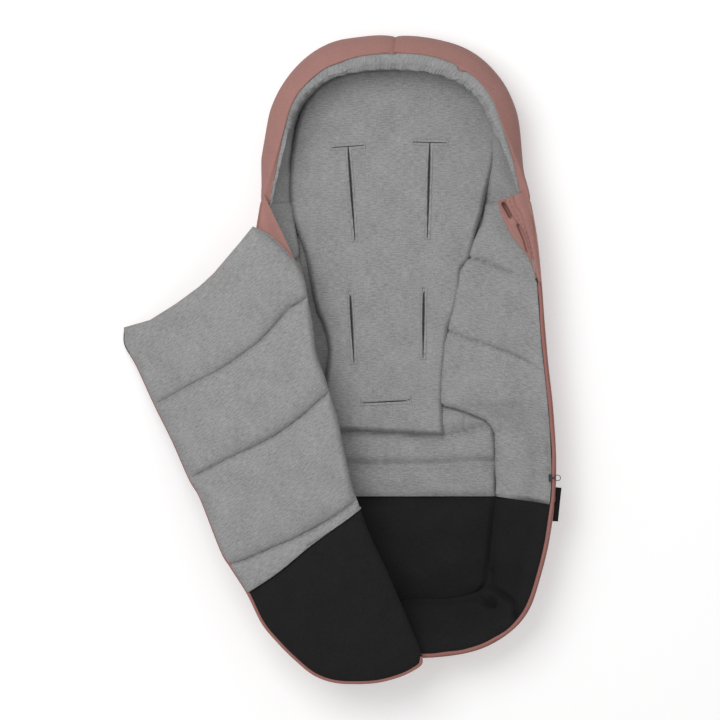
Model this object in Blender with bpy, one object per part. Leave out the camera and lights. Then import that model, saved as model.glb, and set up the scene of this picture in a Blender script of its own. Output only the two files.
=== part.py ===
"""A padded stroller footmuff, laid open on its back with the cover folded over.

Metres, +Z up, +Y towards the hood, +X to the right of a person looking down at it.
The origin is the centre of the flat underside of the back panel.
"""
import bpy
import bmesh
from math import radians, sin, cos, tan, pi
from mathutils import Vector

# The driving dimensions
HALF_LENGTH = 0.467
HALF_WIDTH = 0.240
RIM_HEIGHT = 0.080
HOOD_HEIGHT = 0.106
SEAT_SHIFT = -0.010
FABRIC = 0.0015
LIP_DEPTH = 0.0042
BACK_THICK = 0.0115
PAD_HEIGHT = 0.024
FOAM_CLEAR = 0.0012
GAP = 0.0003

# The body's piping and zip
PIPING_RADIUS = 0.0025
PIPING_INSET = 0.0026
TAPE_WIDTH = 0.008
TAPE_THICK = 0.0008
TAPE_LIFT = 0.00075
COIL_RADIUS = 0.0012
ELASTIC_WIDTH = 0.008
ELASTIC_THICK = 0.0015
TAG_LENGTH = 0.051
TAG_WIDTH = 0.0105
TAG_THICK = 0.0012
tag_start_share = -0.45182
TAG_START = HALF_LENGTH * tag_start_share
GARAGE_REACH = 0.046
GARAGE_END_REACH = 0.0128
POCKET_CLEAR = 0.0009
POCKET_OPENING = 0.007
CURL = 0.0036

# The slots for the harness
SLOT_WIDTH = 0.006
SLOT_FACING = 0.0012
SLOT_PROUD = 0.0012
UPPER_SLOT_LENGTH = 0.141
upper_slot_share = 0.49036
UPPER_SLOT_Y = HALF_LENGTH * upper_slot_share
UPPER_SLOT_HALF_SPACING = 0.058
UPPER_BAR_LENGTH = 0.048
LOWER_SLOT_LENGTH = 0.105
lower_slot_share = 0.06424
LOWER_SLOT_Y = HALF_LENGTH * lower_slot_share
LOWER_SLOT_HALF_SPACING = 0.051
CROTCH_SLOT_LENGTH = 0.071
crotch_slot_share = -0.17987
CROTCH_SLOT_Y = HALF_LENGTH * crotch_slot_share

# The cover, its fold and its droop over the left rim
fold_top_shares = (-0.65667, 0.26981)
fold_bottom_shares = (0.12750, -0.99893)
FOLD_TOP_X = HALF_WIDTH * fold_top_shares[0]
FOLD_TOP_Y = HALF_LENGTH * fold_top_shares[1]
FOLD_BOTTOM_X = HALF_WIDTH * fold_bottom_shares[0]
FOLD_BOTTOM_Y = HALF_LENGTH * fold_bottom_shares[1]
FOLD_GAP = 0.0004
COVER_THICK = 0.018
COVER_EDGE_THICK = 0.0062
ROOT_THICK = 0.0142
droop_top_shares = (-0.96667, 0.32548)
droop_bottom_shares = (-1.02500, -0.72377)
DROOP_TOP_X = HALF_WIDTH * droop_top_shares[0]
DROOP_TOP_Y = HALF_LENGTH * droop_top_shares[1]
DROOP_BOTTOM_X = HALF_WIDTH * droop_bottom_shares[0]
DROOP_BOTTOM_Y = HALF_LENGTH * droop_bottom_shares[1]
DROOP_ANGLE = radians(27)
DROOP_RADIUS = 0.090
COVER_PIPING_RADIUS = 0.0018
COVER_TAPE_WIDTH = 0.007

# The zip slider and its pull
slider_share = -0.42398
SLIDER_Y = HALF_LENGTH * slider_share
SLIDER_TRAVEL = 0.060
SLIDER_LENGTH = 0.011
SLIDER_PLATE = 0.0010
SLIDER_CLEAR = 0.00035
EAR_THICK = 0.0014
EAR_DEPTH = 0.0032
EAR_HEIGHT = 0.0046
PULL_WIDTH = 0.0026
PULL_THICK = 0.0012
PULL_BAR = 0.0022
PULL_CLEAR = 0.0005
RING_RADIUS = 0.0048
RING_WIRE = 0.0011
RING_OUT = 0.0034
STOP_LENGTH = 0.004
STOP_WIDTH = 0.0030

# Steps along each stretch, seam to seam
TOE_STEPS = 9
SIDE_STEPS = 9
HOOD_STEPS = 9

# The right half of the rim and of the crease at its foot, toe centre to hood centre.
# Each row holds rim x, rim y, crease x and crease y: x as shares of the half width,
# y as shares of the half length.
wall_shares = (
    (0.000, -1.000, 0.000, -0.822),
    (0.250, -0.998, 0.208, -0.822),
    (0.500, -0.976, 0.408, -0.818),
    (0.688, -0.927, 0.550, -0.801),
    (0.821, -0.852, 0.621, -0.764),
    (0.900, -0.739, 0.638, -0.696),
    (0.958, -0.610, 0.658, -0.589),
    (0.996, -0.439, 0.683, -0.439),
    (0.983, -0.238, 0.675, -0.246),
    (0.933, 0.019, 0.654, 0.011),
    (0.896, 0.268, 0.629, 0.268),
    (0.842, 0.469, 0.608, 0.469),
    (0.792, 0.606, 0.608, 0.600),
    (0.733, 0.749, 0.579, 0.717),
    (0.646, 0.852, 0.500, 0.788),
    (0.492, 0.936, 0.375, 0.831),
    (0.292, 0.983, 0.217, 0.852),
    (0.000, 1.000, 0.000, 0.861),
)
toe_seam_share = 6.70 / (len(wall_shares) - 1)
hood_seam_share = 11.0 / (len(wall_shares) - 1)
hood_start_share = 0.460
hood_full_share = 0.770

# Wall sections: shares of the wall's depth in plan, and of its height
outer_side_shares = ((1.0, 0.0), (0.72, 0.03), (0.48, 0.13), (0.27, 0.34), (0.11, 0.64), (0.0, 1.0))
outer_hood_shares = ((1.0, 0.0), (0.55, 0.02), (0.15, 0.17), (0.0, 0.46), (0.12, 0.80), (0.42, 1.0))
inner_side_shares = ((1.0, 0.0), (0.86, 0.22), (0.66, 0.40), (0.46, 0.60), (0.27, 0.82),
                     (0.13, 0.91), (0.0, 1.0))
inner_hood_shares = ((1.0, 0.0), (0.80, 0.17), (0.54, 0.32), (0.42, 0.52), (0.52, 0.74),
                     (0.80, 0.86), (0.68, 0.965))

# The seat pad: half width as a share of HALF_WIDTH, y as a share of HALF_LENGTH
pad_shares = (
    (0.325, -0.285), (0.340, -0.262), (0.350, -0.120), (0.367, -0.006), (0.400, 0.058),
    (0.442, 0.128), (0.475, 0.212), (0.517, 0.293), (0.575, 0.435), (0.590, 0.590),
    (0.540, 0.705), (0.440, 0.775), (0.300, 0.815),
)
pad_section_shares = ((-1.0, 0.0), (-0.985, 0.42), (-0.93, 0.68), (-0.75, 0.86), (-0.40, 0.97),
                      (0.0, 1.0), (0.40, 0.97), (0.75, 0.86), (0.93, 0.68), (0.985, 0.42), (1.0, 0.0))
pad_end_shares = (0.0, 0.62, 0.88)

# Cover rows from the neck edge down to the toe, each from the fold to the free edge.
# x as shares of HALF_WIDTH, y as shares of HALF_LENGTH; the first point is on the fold.
cover_neck_shares = ((-0.665, 0.283), (-0.896, 0.385), (-1.138, 0.236), (-1.369, 0.139), (-1.704, 0.060))
cover_seam_1_shares = ((-0.595, 0.148), (-0.781, 0.054), (-1.081, -0.071), (-1.290, -0.125), (-1.515, -0.193))
cover_seam_2_shares = ((-0.420, -0.148), (-0.588, -0.225), (-0.781, -0.294), (-1.069, -0.366), (-1.298, -0.427))
cover_seam_3_shares = ((-0.230, -0.480), (-0.437, -0.565), (-0.625, -0.617), (-0.840, -0.670), (-1.050, -0.703))
cover_toe_seam_shares = ((-0.205, -0.515), (-0.331, -0.568), (-0.531, -0.642), (-0.737, -0.729), (-0.934, -0.797))
cover_toe_1_shares = ((-0.080, -0.700), (-0.240, -0.775), (-0.430, -0.850), (-0.610, -0.905), (-0.737, -0.957))
cover_toe_2_shares = ((0.035, -0.870), (-0.110, -0.930), (-0.270, -0.985), (-0.420, -1.025), (-0.519, -1.057))
cover_end_shares = ((0.118, -0.990), (0.075, -1.040), (-0.060, -1.078), (-0.200, -1.088), (-0.330, -1.082))
root_top_share = 0.455
root_end_share = -0.968
root_column_shares = ((0.0, 0.0), (0.14, 0.75), (0.35, 1.0), (0.7, 1.0), (1.0, 1.0))
# Each sewn row of the cover and how full the wadding is along it
cover_rows_shares = (
    (cover_neck_shares, 0.0), (cover_seam_1_shares, 0.25), (cover_seam_2_shares, 0.25),
    (cover_seam_3_shares, 0.25), (cover_toe_seam_shares, 0.55), (cover_toe_1_shares, 1.0),
    (cover_toe_2_shares, 0.9), (cover_end_shares, 0.0),
)
toe_seam_row = 4
row_step_shares = (0.0, 0.12, 0.4, 0.75)
flat_column_shares = ((0.0, 0.8), (0.12, 1.0), (0.45, 1.0), (0.72, 1.0), (0.9, 0.8), (1.0, 0.0))
side_column_shares = ((0.0, 1.0), (0.3, 1.0), (0.6, 1.0), (0.87, 0.8), (1.0, 0.0))
elastic_from_share = 0.5
garage_mouth_share = 0.6
garage_rise_share = 1.25
hem_reach_share = 0.46
curl_share = 0.45
seam_lip_share = 1.25
tag_drop_share = 0.25
outline_length_share = 2.875
droop_steepness_share = 1.15
toe_row_share = 0.19
root_spread_share = 0.9
pull_tab_share = 0.12
garage_end_share = 9.9 / (len(wall_shares) - 1)
garage_start_share = 11.15 / (len(wall_shares) - 1)
piping_start_share = 9.75 / (len(wall_shares) - 1)

COLOURS = {
    "rose": (0.434, 0.216, 0.188, 1.0),
    "rose_dark": (0.356, 0.171, 0.150, 1.0),
    "grey": (0.323, 0.323, 0.323, 1.0),
    "black": (0.018, 0.018, 0.019, 1.0),
    "wadding": (0.800, 0.790, 0.760, 1.0),
    "tape": (0.020, 0.016, 0.016, 1.0),
    "metal": (0.080, 0.080, 0.085, 1.0),
}
METALLIC = {"metal": 1.0}
ROUGHNESS = {"metal": 0.35, "tape": 0.70}


def clear_scene():
    for old in list(bpy.data.objects):
        bpy.data.objects.remove(old, do_unlink=True)


def finish_for(name, finish):
    """A material of its own for each sub-part."""
    material = bpy.data.materials.new(name)
    material.use_nodes = True
    shader = material.node_tree.nodes["Principled BSDF"]
    shader.inputs["Base Color"].default_value = COLOURS[finish]
    shader.inputs["Metallic"].default_value = METALLIC.get(finish, 0.0)
    shader.inputs["Roughness"].default_value = ROUGHNESS.get(finish, 0.92)
    return material


def add_object(name, points, faces, finish):
    """One sub-part from its points and faces, with its faces turned outwards."""
    mesh = bpy.data.meshes.new(name)
    mesh.from_pydata([tuple(point) for point in points], [], faces)
    work = bmesh.new()
    work.from_mesh(mesh)
    bmesh.ops.recalc_face_normals(work, faces=work.faces)
    work.to_mesh(mesh)
    work.free()
    thing = bpy.data.objects.new(name, mesh)
    mesh.materials.append(finish_for(name, finish))
    bpy.context.scene.collection.objects.link(thing)
    return thing


def mix(a, b, share):
    return a + (b - a) * share


def smooth_share(value):
    value = min(1.0, max(0.0, value))
    return value * value * (3 - 2 * value)


def spline(rows, place):
    """A smooth curve through rows of numbers; place runs from 0 to the last row."""
    last = len(rows) - 1
    index = min(int(place), last - 1)
    t = place - index
    before = rows[index - 1] if index > 0 else None
    a, b = rows[index], rows[index + 1]
    after = rows[index + 2] if index + 2 <= last else None
    values = []
    for k in range(len(a)):
        low = before[k] if before else 2 * a[k] - b[k]
        high = after[k] if after else 2 * b[k] - a[k]
        slope_a, slope_b = (b[k] - low) / 2, (high - a[k]) / 2
        values.append((2 * t**3 - 3 * t**2 + 1) * a[k] + (t**3 - 2 * t**2 + t) * slope_a
                      + (3 * t**2 - 2 * t**3) * b[k] + (t**3 - t**2) * slope_b)
    return values


class Station:
    """A vertical plane across the wall, at a share of the way from toe to hood."""

    def __init__(self, share, side):
        self.share = share
        mirrored = [(-rx, ry, -cx, cy) for rx, ry, cx, cy in (wall_shares[1], wall_shares[-2])]
        rows = mirrored[:1] + list(wall_shares) + mirrored[1:]
        rim_x, rim_y, crease_x, crease_y = spline(rows, 1 + share * (len(wall_shares) - 1))
        self.rim = Vector((side * rim_x * HALF_WIDTH, rim_y * HALF_LENGTH))
        self.crease = Vector((side * crease_x * HALF_WIDTH + SEAT_SHIFT, crease_y * HALF_LENGTH))
        self.depth = (self.crease - self.rim).length
        self.inward = (self.crease - self.rim) / self.depth
        height_share = (rim_y - hood_start_share) / (hood_full_share - hood_start_share)
        self.hood = smooth_share(height_share)
        self.height = mix(RIM_HEIGHT, HOOD_HEIGHT, self.hood)

    def point(self, depth, height):
        flat = self.rim + self.inward * depth
        return Vector((flat.x, flat.y, height))

    def outer(self):
        """The outside of the wall, from the back panel's edge up to the rim."""
        pairs = zip(outer_side_shares, outer_hood_shares)
        return [(mix(s[0], h[0], self.hood) * self.depth, mix(s[1], h[1], self.hood) * self.height)
                for s, h in pairs]

    def inner(self):
        """The inside of the wall, from the floor up to the lip and over to the rim."""
        rise = self.height - BACK_THICK
        pairs = zip(inner_side_shares, inner_hood_shares)
        path = [(mix(s[0], h[0], self.hood) * self.depth, BACK_THICK + mix(s[1], h[1], self.hood) * rise)
                for s, h in pairs]
        path[-1] = (path[-1][0] + LIP_DEPTH * (1 - self.hood), path[-1][1])
        seam = self.outer()[-1]
        return path + [(seam[0] + FABRIC * seam_lip_share + GAP * 2, seam[1])]


def shift_path(path, distance, first_normal):
    """The path moved sideways; it turns square to first_normal at its first point."""
    moved = []
    for index, (depth, height) in enumerate(path):
        before = Vector(path[max(index - 1, 0)])
        after = Vector(path[min(index + 1, len(path) - 1)])
        here = Vector((depth, height))
        one = (here - before).normalized() if index > 0 else (after - here).normalized()
        two = (after - here).normalized() if index < len(path) - 1 else one
        along = (one + two).normalized()
        normal = Vector((along.y, -along.x))
        stretch = 1 / max(along.dot(one), 0.5)
        if index == 0:
            normal, stretch = Vector(first_normal), 1
        moved.append(tuple(here + normal * distance * stretch))
    return moved


def skin_section(station):
    outer = station.outer()
    return outer + shift_path(outer, FABRIC, (0, 1))[::-1]


def lining_section(station):
    inner = station.inner()
    return inner + shift_path(inner, -FABRIC, (0, 1))[::-1]


def wadding_section(station):
    outer = shift_path(station.outer(), FABRIC + GAP, (0, 1))
    below = FABRIC + GAP + (ELASTIC_THICK + GAP) * (1 if station.hood > elastic_from_share else 0)
    inner = shift_path(station.inner(), -FABRIC - GAP, (0, 1))
    lowered = shift_path(station.inner(), -below, (0, 1))
    return outer[:-1] + [lowered[6], lowered[5]] + inner[:5][::-1]


def elastic_section(station):
    """A flat elastic held under the collar, between the lip and the top seam."""
    near = shift_path(station.inner(), -FABRIC - GAP, (0, 1))
    far = shift_path(station.inner(), -FABRIC - GAP - ELASTIC_THICK, (0, 1))
    a, b = Vector(near[5]), Vector(near[6])
    c, d = Vector(far[5]), Vector(far[6])
    share = 0.5 * ELASTIC_WIDTH / (b - a).length
    return [tuple(a.lerp(b, 0.5 - share)), tuple(a.lerp(b, 0.5 + share)),
            tuple(c.lerp(d, 0.5 + share)), tuple(c.lerp(d, 0.5 - share))]


def tape_top(station):
    return station.height + TAPE_LIFT + TAPE_THICK


def piping_section(station):
    """A round piping along the rim's upper edge, on top of the zip tape."""
    count = 8
    centre = (PIPING_INSET, tape_top(station) + GAP + PIPING_RADIUS)
    return [(centre[0] + PIPING_RADIUS * cos(2 * pi * (k + 0.5) / count),
             centre[1] + PIPING_RADIUS * sin(2 * pi * (k + 0.5) / count)) for k in range(count)]


def tape_section(station):
    """The zip's tape, flat on the rim, held under the piping."""
    high = tape_top(station)
    low = high - TAPE_THICK
    return [(GAP, low), (GAP + TAPE_WIDTH, low), (GAP + TAPE_WIDTH, high), (GAP, high)]


def coil_depth(station):
    return PIPING_INSET + PIPING_RADIUS + GAP + COIL_RADIUS


def coil_height(station):
    return tape_top(station) + GAP + COIL_RADIUS


def coil_section(station):
    """The zip's coil, along the tape's free edge."""
    count = 6
    depth, height = coil_depth(station), coil_height(station)
    return [(depth + COIL_RADIUS * cos(2 * pi * k / count),
             height + COIL_RADIUS * sin(2 * pi * k / count)) for k in range(count)]


def tag_section(station):
    """The folded tag that is sewn in below the piping and sticks out."""
    drop = TAG_WIDTH * tag_drop_share
    top = station.height - FABRIC
    return [(-GAP, top), (-GAP - TAG_WIDTH, top - drop),
            (-GAP - TAG_WIDTH, top - drop - TAG_THICK), (-GAP, top - TAG_THICK)]


def garage_reach(station):
    """How far the pocket for the slider reaches inwards at a station."""
    low = garage_end_share * (len(wall_shares) - 1)
    high = garage_start_share * (len(wall_shares) - 1)
    here = (station.share * (len(wall_shares) - 1) - low) / (high - low)
    return mix(GARAGE_END_REACH, GARAGE_REACH, here ** garage_rise_share)


def garage_leaf_section(station):
    """The lower leaf of the pocket, which curls up along its inner edge."""
    reach = garage_reach(station)
    low = station.height + POCKET_CLEAR + FABRIC
    path = [(FABRIC * 2 + GAP, low), (reach * garage_mouth_share, low), (reach, low),
            (reach + CURL * garage_mouth_share, low + CURL * curl_share), (reach, low + CURL)]
    return path + shift_path(path, FABRIC, (0, -1))[::-1]


def garage_hem_section(station):
    """The upper leaf of the pocket, a narrow hem beside the rim."""
    reach = garage_reach(station) * hem_reach_share
    top = station.height + PIPING_RADIUS * 2 + POCKET_OPENING
    foot = station.height + POCKET_CLEAR + GAP
    path = [(FABRIC, foot), (FABRIC, top - FABRIC), (reach / 2 + FABRIC, top + FABRIC * curl_share),
            (reach + FABRIC, top)]
    return path + shift_path(path, FABRIC, (1, 0))[::-1]


def sweep(name, stations, section, finish):
    """A closed section carried along stations, with a cap at each end."""
    rings = [[station.point(*pair) for pair in section(station)] for station in stations]
    return loft(name, rings, finish)


def loft(name, rings, finish):
    """A skin over rings of points; the second half of each ring runs back beside the first.

    Faces are split the same way on both halves, so layers that lie together stay parallel.
    """
    points = [point for ring in rings for point in ring]
    size = len(rings[0])
    faces = []
    for i in range(len(rings) - 1):
        for k in range(size):
            a, b = i * size + k, i * size + (k + 1) % size
            c, d = (i + 1) * size + (k + 1) % size, (i + 1) * size + k
            if k < size // 2:
                faces += [(a, b, c), (a, c, d)]
            else:
                faces += [(a, b, d), (b, c, d)]
    last = (len(rings) - 1) * size
    faces.append(tuple(range(size)))
    faces.append(tuple(last + k for k in reversed(range(size))))
    return add_object(name, points, faces, finish)


def slab(name, top, bottom, finish):
    """A sheet between two grids of points with the same rows and columns."""
    rows, columns = len(top), len(top[0])
    points = [p for row in top for p in row] + [p for row in bottom for p in row]
    under = rows * columns
    faces = []
    for i in range(rows - 1):
        for k in range(columns - 1):
            a, b = i * columns + k, i * columns + k + 1
            c, d = (i + 1) * columns + k + 1, (i + 1) * columns + k
            faces += [(a, b, c), (a, c, d)]
            faces += [(under + c, under + b, under + a), (under + d, under + c, under + a)]
    border = [(0, k) for k in range(columns)]
    border += [(i, columns - 1) for i in range(1, rows)]
    border += [(rows - 1, k) for k in range(columns - 2, -1, -1)]
    border += [(i, 0) for i in range(rows - 2, 0, -1)]
    loop = [i * columns + k for i, k in border]
    for a, b in zip(loop, loop[1:] + loop[:1]):
        faces += [(a, under + a, under + b), (a, under + b, b)]
    return add_object(name, points, faces, finish)


def plate(name, outline, low, high, finish):
    """A flat panel between two heights."""
    count = len(outline)
    points = [(p.x, p.y, low) for p in outline] + [(p.x, p.y, high) for p in outline]
    faces = [tuple(range(count)), tuple(range(2 * count - 1, count - 1, -1))]
    faces += [(k, (k + 1) % count, count + (k + 1) % count, count + k) for k in range(count)]
    return add_object(name, points, faces, finish)


def run_of(start, end, steps, side):
    """Stations between two shares of the half outline."""
    return [Station(mix(start, end, k / steps), side) for k in range(steps + 1)]


def half_gap_share():
    """Half the gap between two panels, as a share of the half outline's length."""
    return GAP / (HALF_LENGTH * outline_length_share)


def toe_run():
    """All stations round the toe, from the right seam to the left one."""
    end = toe_seam_share - half_gap_share()
    right = run_of(end, 0, TOE_STEPS, 1)
    left = run_of(0, end, TOE_STEPS, -1)
    return right + left[1:]


def side_run(side):
    return run_of(toe_seam_share + half_gap_share(), hood_seam_share - half_gap_share(), SIDE_STEPS, side)


def hood_half_run(side):
    return run_of(hood_seam_share + half_gap_share(), 1 - half_gap_share(), HOOD_STEPS, side)


def hood_run():
    return hood_half_run(1) + hood_half_run(-1)[::-1]


def build_walls():
    sweep("toe_shell", toe_run(), skin_section, "rose")
    sweep("toe_wadding", toe_run(), wadding_section, "wadding")
    sweep("toe_lining", toe_run(), lining_section, "black")
    for side, word in ((1, "right"), (-1, "left")):
        sweep("side_shell_" + word, side_run(side), skin_section, "rose")
        sweep("side_wadding_" + word, side_run(side), wadding_section, "wadding")
        sweep("side_lining_" + word, side_run(side), lining_section, "grey")
        sweep("hood_shell_" + word, hood_half_run(side)[::side], skin_section, "rose")
    sweep("hood_wadding", hood_run(), wadding_section, "wadding")
    sweep("collar_lining", hood_run(), lining_section, "grey")
    elastic = hood_run()[HOOD_STEPS // 3:-(HOOD_STEPS // 3)]
    sweep("collar_elastic", elastic, elastic_section, "tape")


def floor_outline(start, end):
    """The floor's edge inside the crease, right side then left side back."""
    edge = []
    for side in (1, -1):
        stations = []
        if start < toe_seam_share:
            stations += run_of(0, toe_seam_share - half_gap_share(), TOE_STEPS, side)
        if end > toe_seam_share:
            stations += side_run(side) + hood_half_run(side)
        flat = [station.point(station.depth + GAP, 0) for station in stations]
        edge += flat if side > 0 else flat[::-1]
    kept = []
    for point in edge:
        if not kept or (point - kept[-1]).length > GAP:
            kept.append(point)
    if (kept[0] - kept[-1]).length < GAP:
        kept.pop()
    return kept


def slot_outline(name, grow):
    """The outline of one harness slot, grown outwards by a width."""
    half = SLOT_WIDTH / 2 + grow
    kind, side = slots[name]
    if kind == "crotch":
        reach = CROTCH_SLOT_LENGTH / 2 + grow
        x, y = SEAT_SHIFT, CROTCH_SLOT_Y
        return [Vector((x - reach, y - half)), Vector((x + reach, y - half)),
                Vector((x + reach, y + half)), Vector((x - reach, y + half))]
    if kind == "lower":
        reach = LOWER_SLOT_LENGTH / 2 + grow
        x, y = SEAT_SHIFT + side * LOWER_SLOT_HALF_SPACING, LOWER_SLOT_Y
        return [Vector((x - half, y - reach)), Vector((x + half, y - reach)),
                Vector((x + half, y + reach)), Vector((x - half, y + reach))]
    reach = UPPER_SLOT_LENGTH / 2 + grow
    bar = UPPER_BAR_LENGTH / 2 + grow
    x, y = SEAT_SHIFT + side * UPPER_SLOT_HALF_SPACING, UPPER_SLOT_Y
    top = y + reach
    return [Vector((x - half, y - reach)), Vector((x + half, y - reach)), Vector((x + half, top - 2 * half)),
            Vector((x + bar, top - 2 * half)), Vector((x + bar, top)), Vector((x - bar, top)),
            Vector((x - bar, top - 2 * half)), Vector((x - half, top - 2 * half))]


slots = {
    "slot_facing_upper_right": ("upper", 1),
    "slot_facing_upper_left": ("upper", -1),
    "slot_facing_lower_right": ("lower", 1),
    "slot_facing_lower_left": ("lower", -1),
    "slot_facing_crotch": ("crotch", 0),
}


def pad_half_width(y):
    """Half the pad's width at a y, by straight steps between its shares."""
    share = y / HALF_LENGTH
    for (wide_a, at_a), (wide_b, at_b) in zip(pad_shares, pad_shares[1:]):
        if at_a <= share <= at_b:
            return mix(wide_a, wide_b, (share - at_a) / (at_b - at_a)) * HALF_WIDTH
    return pad_shares[0][0] * HALF_WIDTH


def pad_height(x, y):
    """The pad's top at a place, above the floor lining."""
    across = abs(x - SEAT_SHIFT) / pad_half_width(y)
    for (at_a, high_a), (at_b, high_b) in zip(pad_section_shares[5:], pad_section_shares[6:]):
        if at_a <= across <= at_b:
            return mix(high_a, high_b, (across - at_a) / (at_b - at_a)) * PAD_HEIGHT
    return 0.0


def pad_grid(inset, floor, lift):
    """A crowned grid; inset draws it in all round and lowers it."""
    rows = []
    last = len(pad_shares) - 1
    for index, (wide, along) in enumerate(pad_shares):
        row = []
        end = min(index, last - index)
        fullness = pad_end_shares[end] if end < len(pad_end_shares) else 1.0
        y = along * HALF_LENGTH
        y += inset if index == 0 else 0
        y -= inset if index == last else 0
        half = wide * HALF_WIDTH - inset
        for across, high in pad_section_shares:
            z = floor + max(high * fullness * (PAD_HEIGHT - inset), lift)
            row.append(Vector((SEAT_SHIFT + across * half, y, z)))
        rows.append(row)
    return rows


def cut(thing, cutters):
    for cutter in cutters:
        modifier = thing.modifiers.new(cutter.name, "BOOLEAN")
        modifier.operation = "DIFFERENCE"
        modifier.solver = "EXACT"
        modifier.object = cutter


def build_floor():
    """The back panel, its wadding, both floor linings and the seat pad, all with slots."""
    whole = floor_outline(0, 1)
    wad_low = FABRIC + GAP
    wad_high = BACK_THICK - FABRIC - GAP
    lining_low = BACK_THICK - FABRIC
    back = plate("back_panel", whole, 0, FABRIC, "rose")
    wadding = plate("back_wadding", whole, wad_low, wad_high, "wadding")
    lining = plate("floor_lining", floor_outline(toe_seam_share, 1), lining_low, BACK_THICK, "grey")
    plate("toe_floor_lining", floor_outline(0, toe_seam_share), lining_low, BACK_THICK, "black")
    floor = BACK_THICK + GAP
    cover = slab("seat_pad_cover", pad_grid(0, floor, 0), pad_grid(FABRIC, floor, 0), "grey")
    foam_top = pad_grid(FABRIC + FOAM_CLEAR, floor, GAP)
    foam_low = [[Vector((p.x, p.y, floor)) for p in row] for row in foam_top]
    foam = slab("seat_pad_foam", foam_top, foam_low, "wadding")
    cutters = []
    overrun = BACK_THICK + PAD_HEIGHT
    for name in slots:
        hole = slot_outline(name, SLOT_FACING + GAP)
        cutter = plate("cutter_" + name, hole, -overrun, overrun * 2, "tape")
        cutter.hide_render = True
        cutter.display_type = "WIRE"
        cutters.append(cutter)
        build_facing(name)
    for thing in (back, wadding, lining, cover, foam):
        cut(thing, cutters)


def build_facing(name):
    """The bound edge of a slot: a thin fabric tube from the back to the pad's top."""
    outside = slot_outline(name, SLOT_FACING)
    inside = slot_outline(name, 0)
    count = len(outside)

    def top(point):
        return BACK_THICK + GAP + pad_height(point.x, point.y) + SLOT_PROUD

    points = [(p.x, p.y, 0) for p in outside] + [(p.x, p.y, top(p)) for p in outside]
    points += [(p.x, p.y, 0) for p in inside] + [(p.x, p.y, top(p)) for p in inside]
    faces = []
    for k in range(count):
        n = (k + 1) % count
        faces.append((k, n, count + n, count + k))
        faces.append((2 * count + n, 2 * count + k, 3 * count + k, 3 * count + n))
        faces.append((n, k, 2 * count + k, 2 * count + n))
        faces.append((count + k, count + n, 3 * count + n, 3 * count + k))
    add_object(name, points, faces, "grey")


def build_rim():
    """Piping, tape and coil along the rim, the tag and the pocket for the slider."""
    right = run_of(piping_start_share, toe_seam_share, SIDE_STEPS, 1)
    toe = run_of(toe_seam_share, 0, TOE_STEPS, 1)[1:] + run_of(0, toe_seam_share, TOE_STEPS, -1)[1:]
    left = run_of(toe_seam_share, hood_seam_share - half_gap_share(), SIDE_STEPS, -1)[1:]
    sweep("rim_piping", right + toe + left, piping_section, "rose_dark")
    to_toe = right + run_of(toe_seam_share, 0, TOE_STEPS, 1)[1:]
    sweep("zip_tape", to_toe, tape_section, "tape")
    sweep("zip_coil", to_toe, coil_section, "tape")
    tag_from = share_at(TAG_START)
    tag_to = share_at(TAG_START - TAG_LENGTH)
    sweep("label_tag", run_of(tag_from, tag_to, 2, 1), tag_section, "black")
    pocket = run_of(garage_start_share, garage_end_share, 6, 1)
    sweep("zip_garage_leaf", pocket, garage_leaf_section, "rose")
    sweep("zip_garage_hem", pocket, garage_hem_section, "rose")


def share_at(y):
    """The share of the half outline where the rim passes a y."""
    low, high = 0.0, 1.0
    for _ in range(40):
        middle = (low + high) / 2
        if Station(middle, 1).rim.y < y:
            low = middle
        else:
            high = middle
    return low


ROOT_LOW = RIM_HEIGHT + TAPE_LIFT + TAPE_THICK + GAP + PIPING_RADIUS * 2 + GAP
FOLD_HEIGHT = ROOT_LOW + ROOT_THICK + FOLD_GAP / 2


def fold_x(y):
    share = (FOLD_TOP_Y - y) / (FOLD_TOP_Y - FOLD_BOTTOM_Y)
    return mix(FOLD_TOP_X, FOLD_BOTTOM_X, share)


def droop_x(y):
    share = (DROOP_TOP_Y - y) / (DROOP_TOP_Y - DROOP_BOTTOM_Y)
    return mix(DROOP_TOP_X, DROOP_BOTTOM_X, share)


def droop(point):
    """How far the cover has dropped at a place beyond the left rim."""
    beyond = droop_x(point.y) - point.x
    if beyond <= 0:
        return 0.0
    steep = DROOP_ANGLE * droop_steepness_share
    turn = DROOP_RADIUS * sin(steep)
    if beyond < turn:
        return DROOP_RADIUS - (DROOP_RADIUS**2 - beyond**2) ** 0.5
    fall = DROOP_RADIUS * (1 - cos(steep))
    return fall + (beyond - turn) * tan(steep)


def along_line(points, share):
    """The point at a share of the length of a run of plan points."""
    lengths = [(b - a).length for a, b in zip(points, points[1:])]
    left = share * sum(lengths)
    for a, b, length in zip(points, points[1:], lengths):
        if left <= length:
            return a.lerp(b, left / length)
        left -= length
    return points[-1]


def cover_row(shares):
    """One row of the cover in plan, from the fold to the free edge."""
    points = [Vector((x * HALF_WIDTH, y * HALF_LENGTH)) for x, y in shares]
    points[0].x = fold_x(points[0].y) - FOLD_GAP
    return points


def droop_share(row):
    """The share of a row's length at which it crosses the droop line, or 1."""
    steps = 400
    for k in range(steps + 1):
        point = along_line(row, k / steps)
        if point.x < droop_x(point.y):
            return k / steps
    return 1.0


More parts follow.
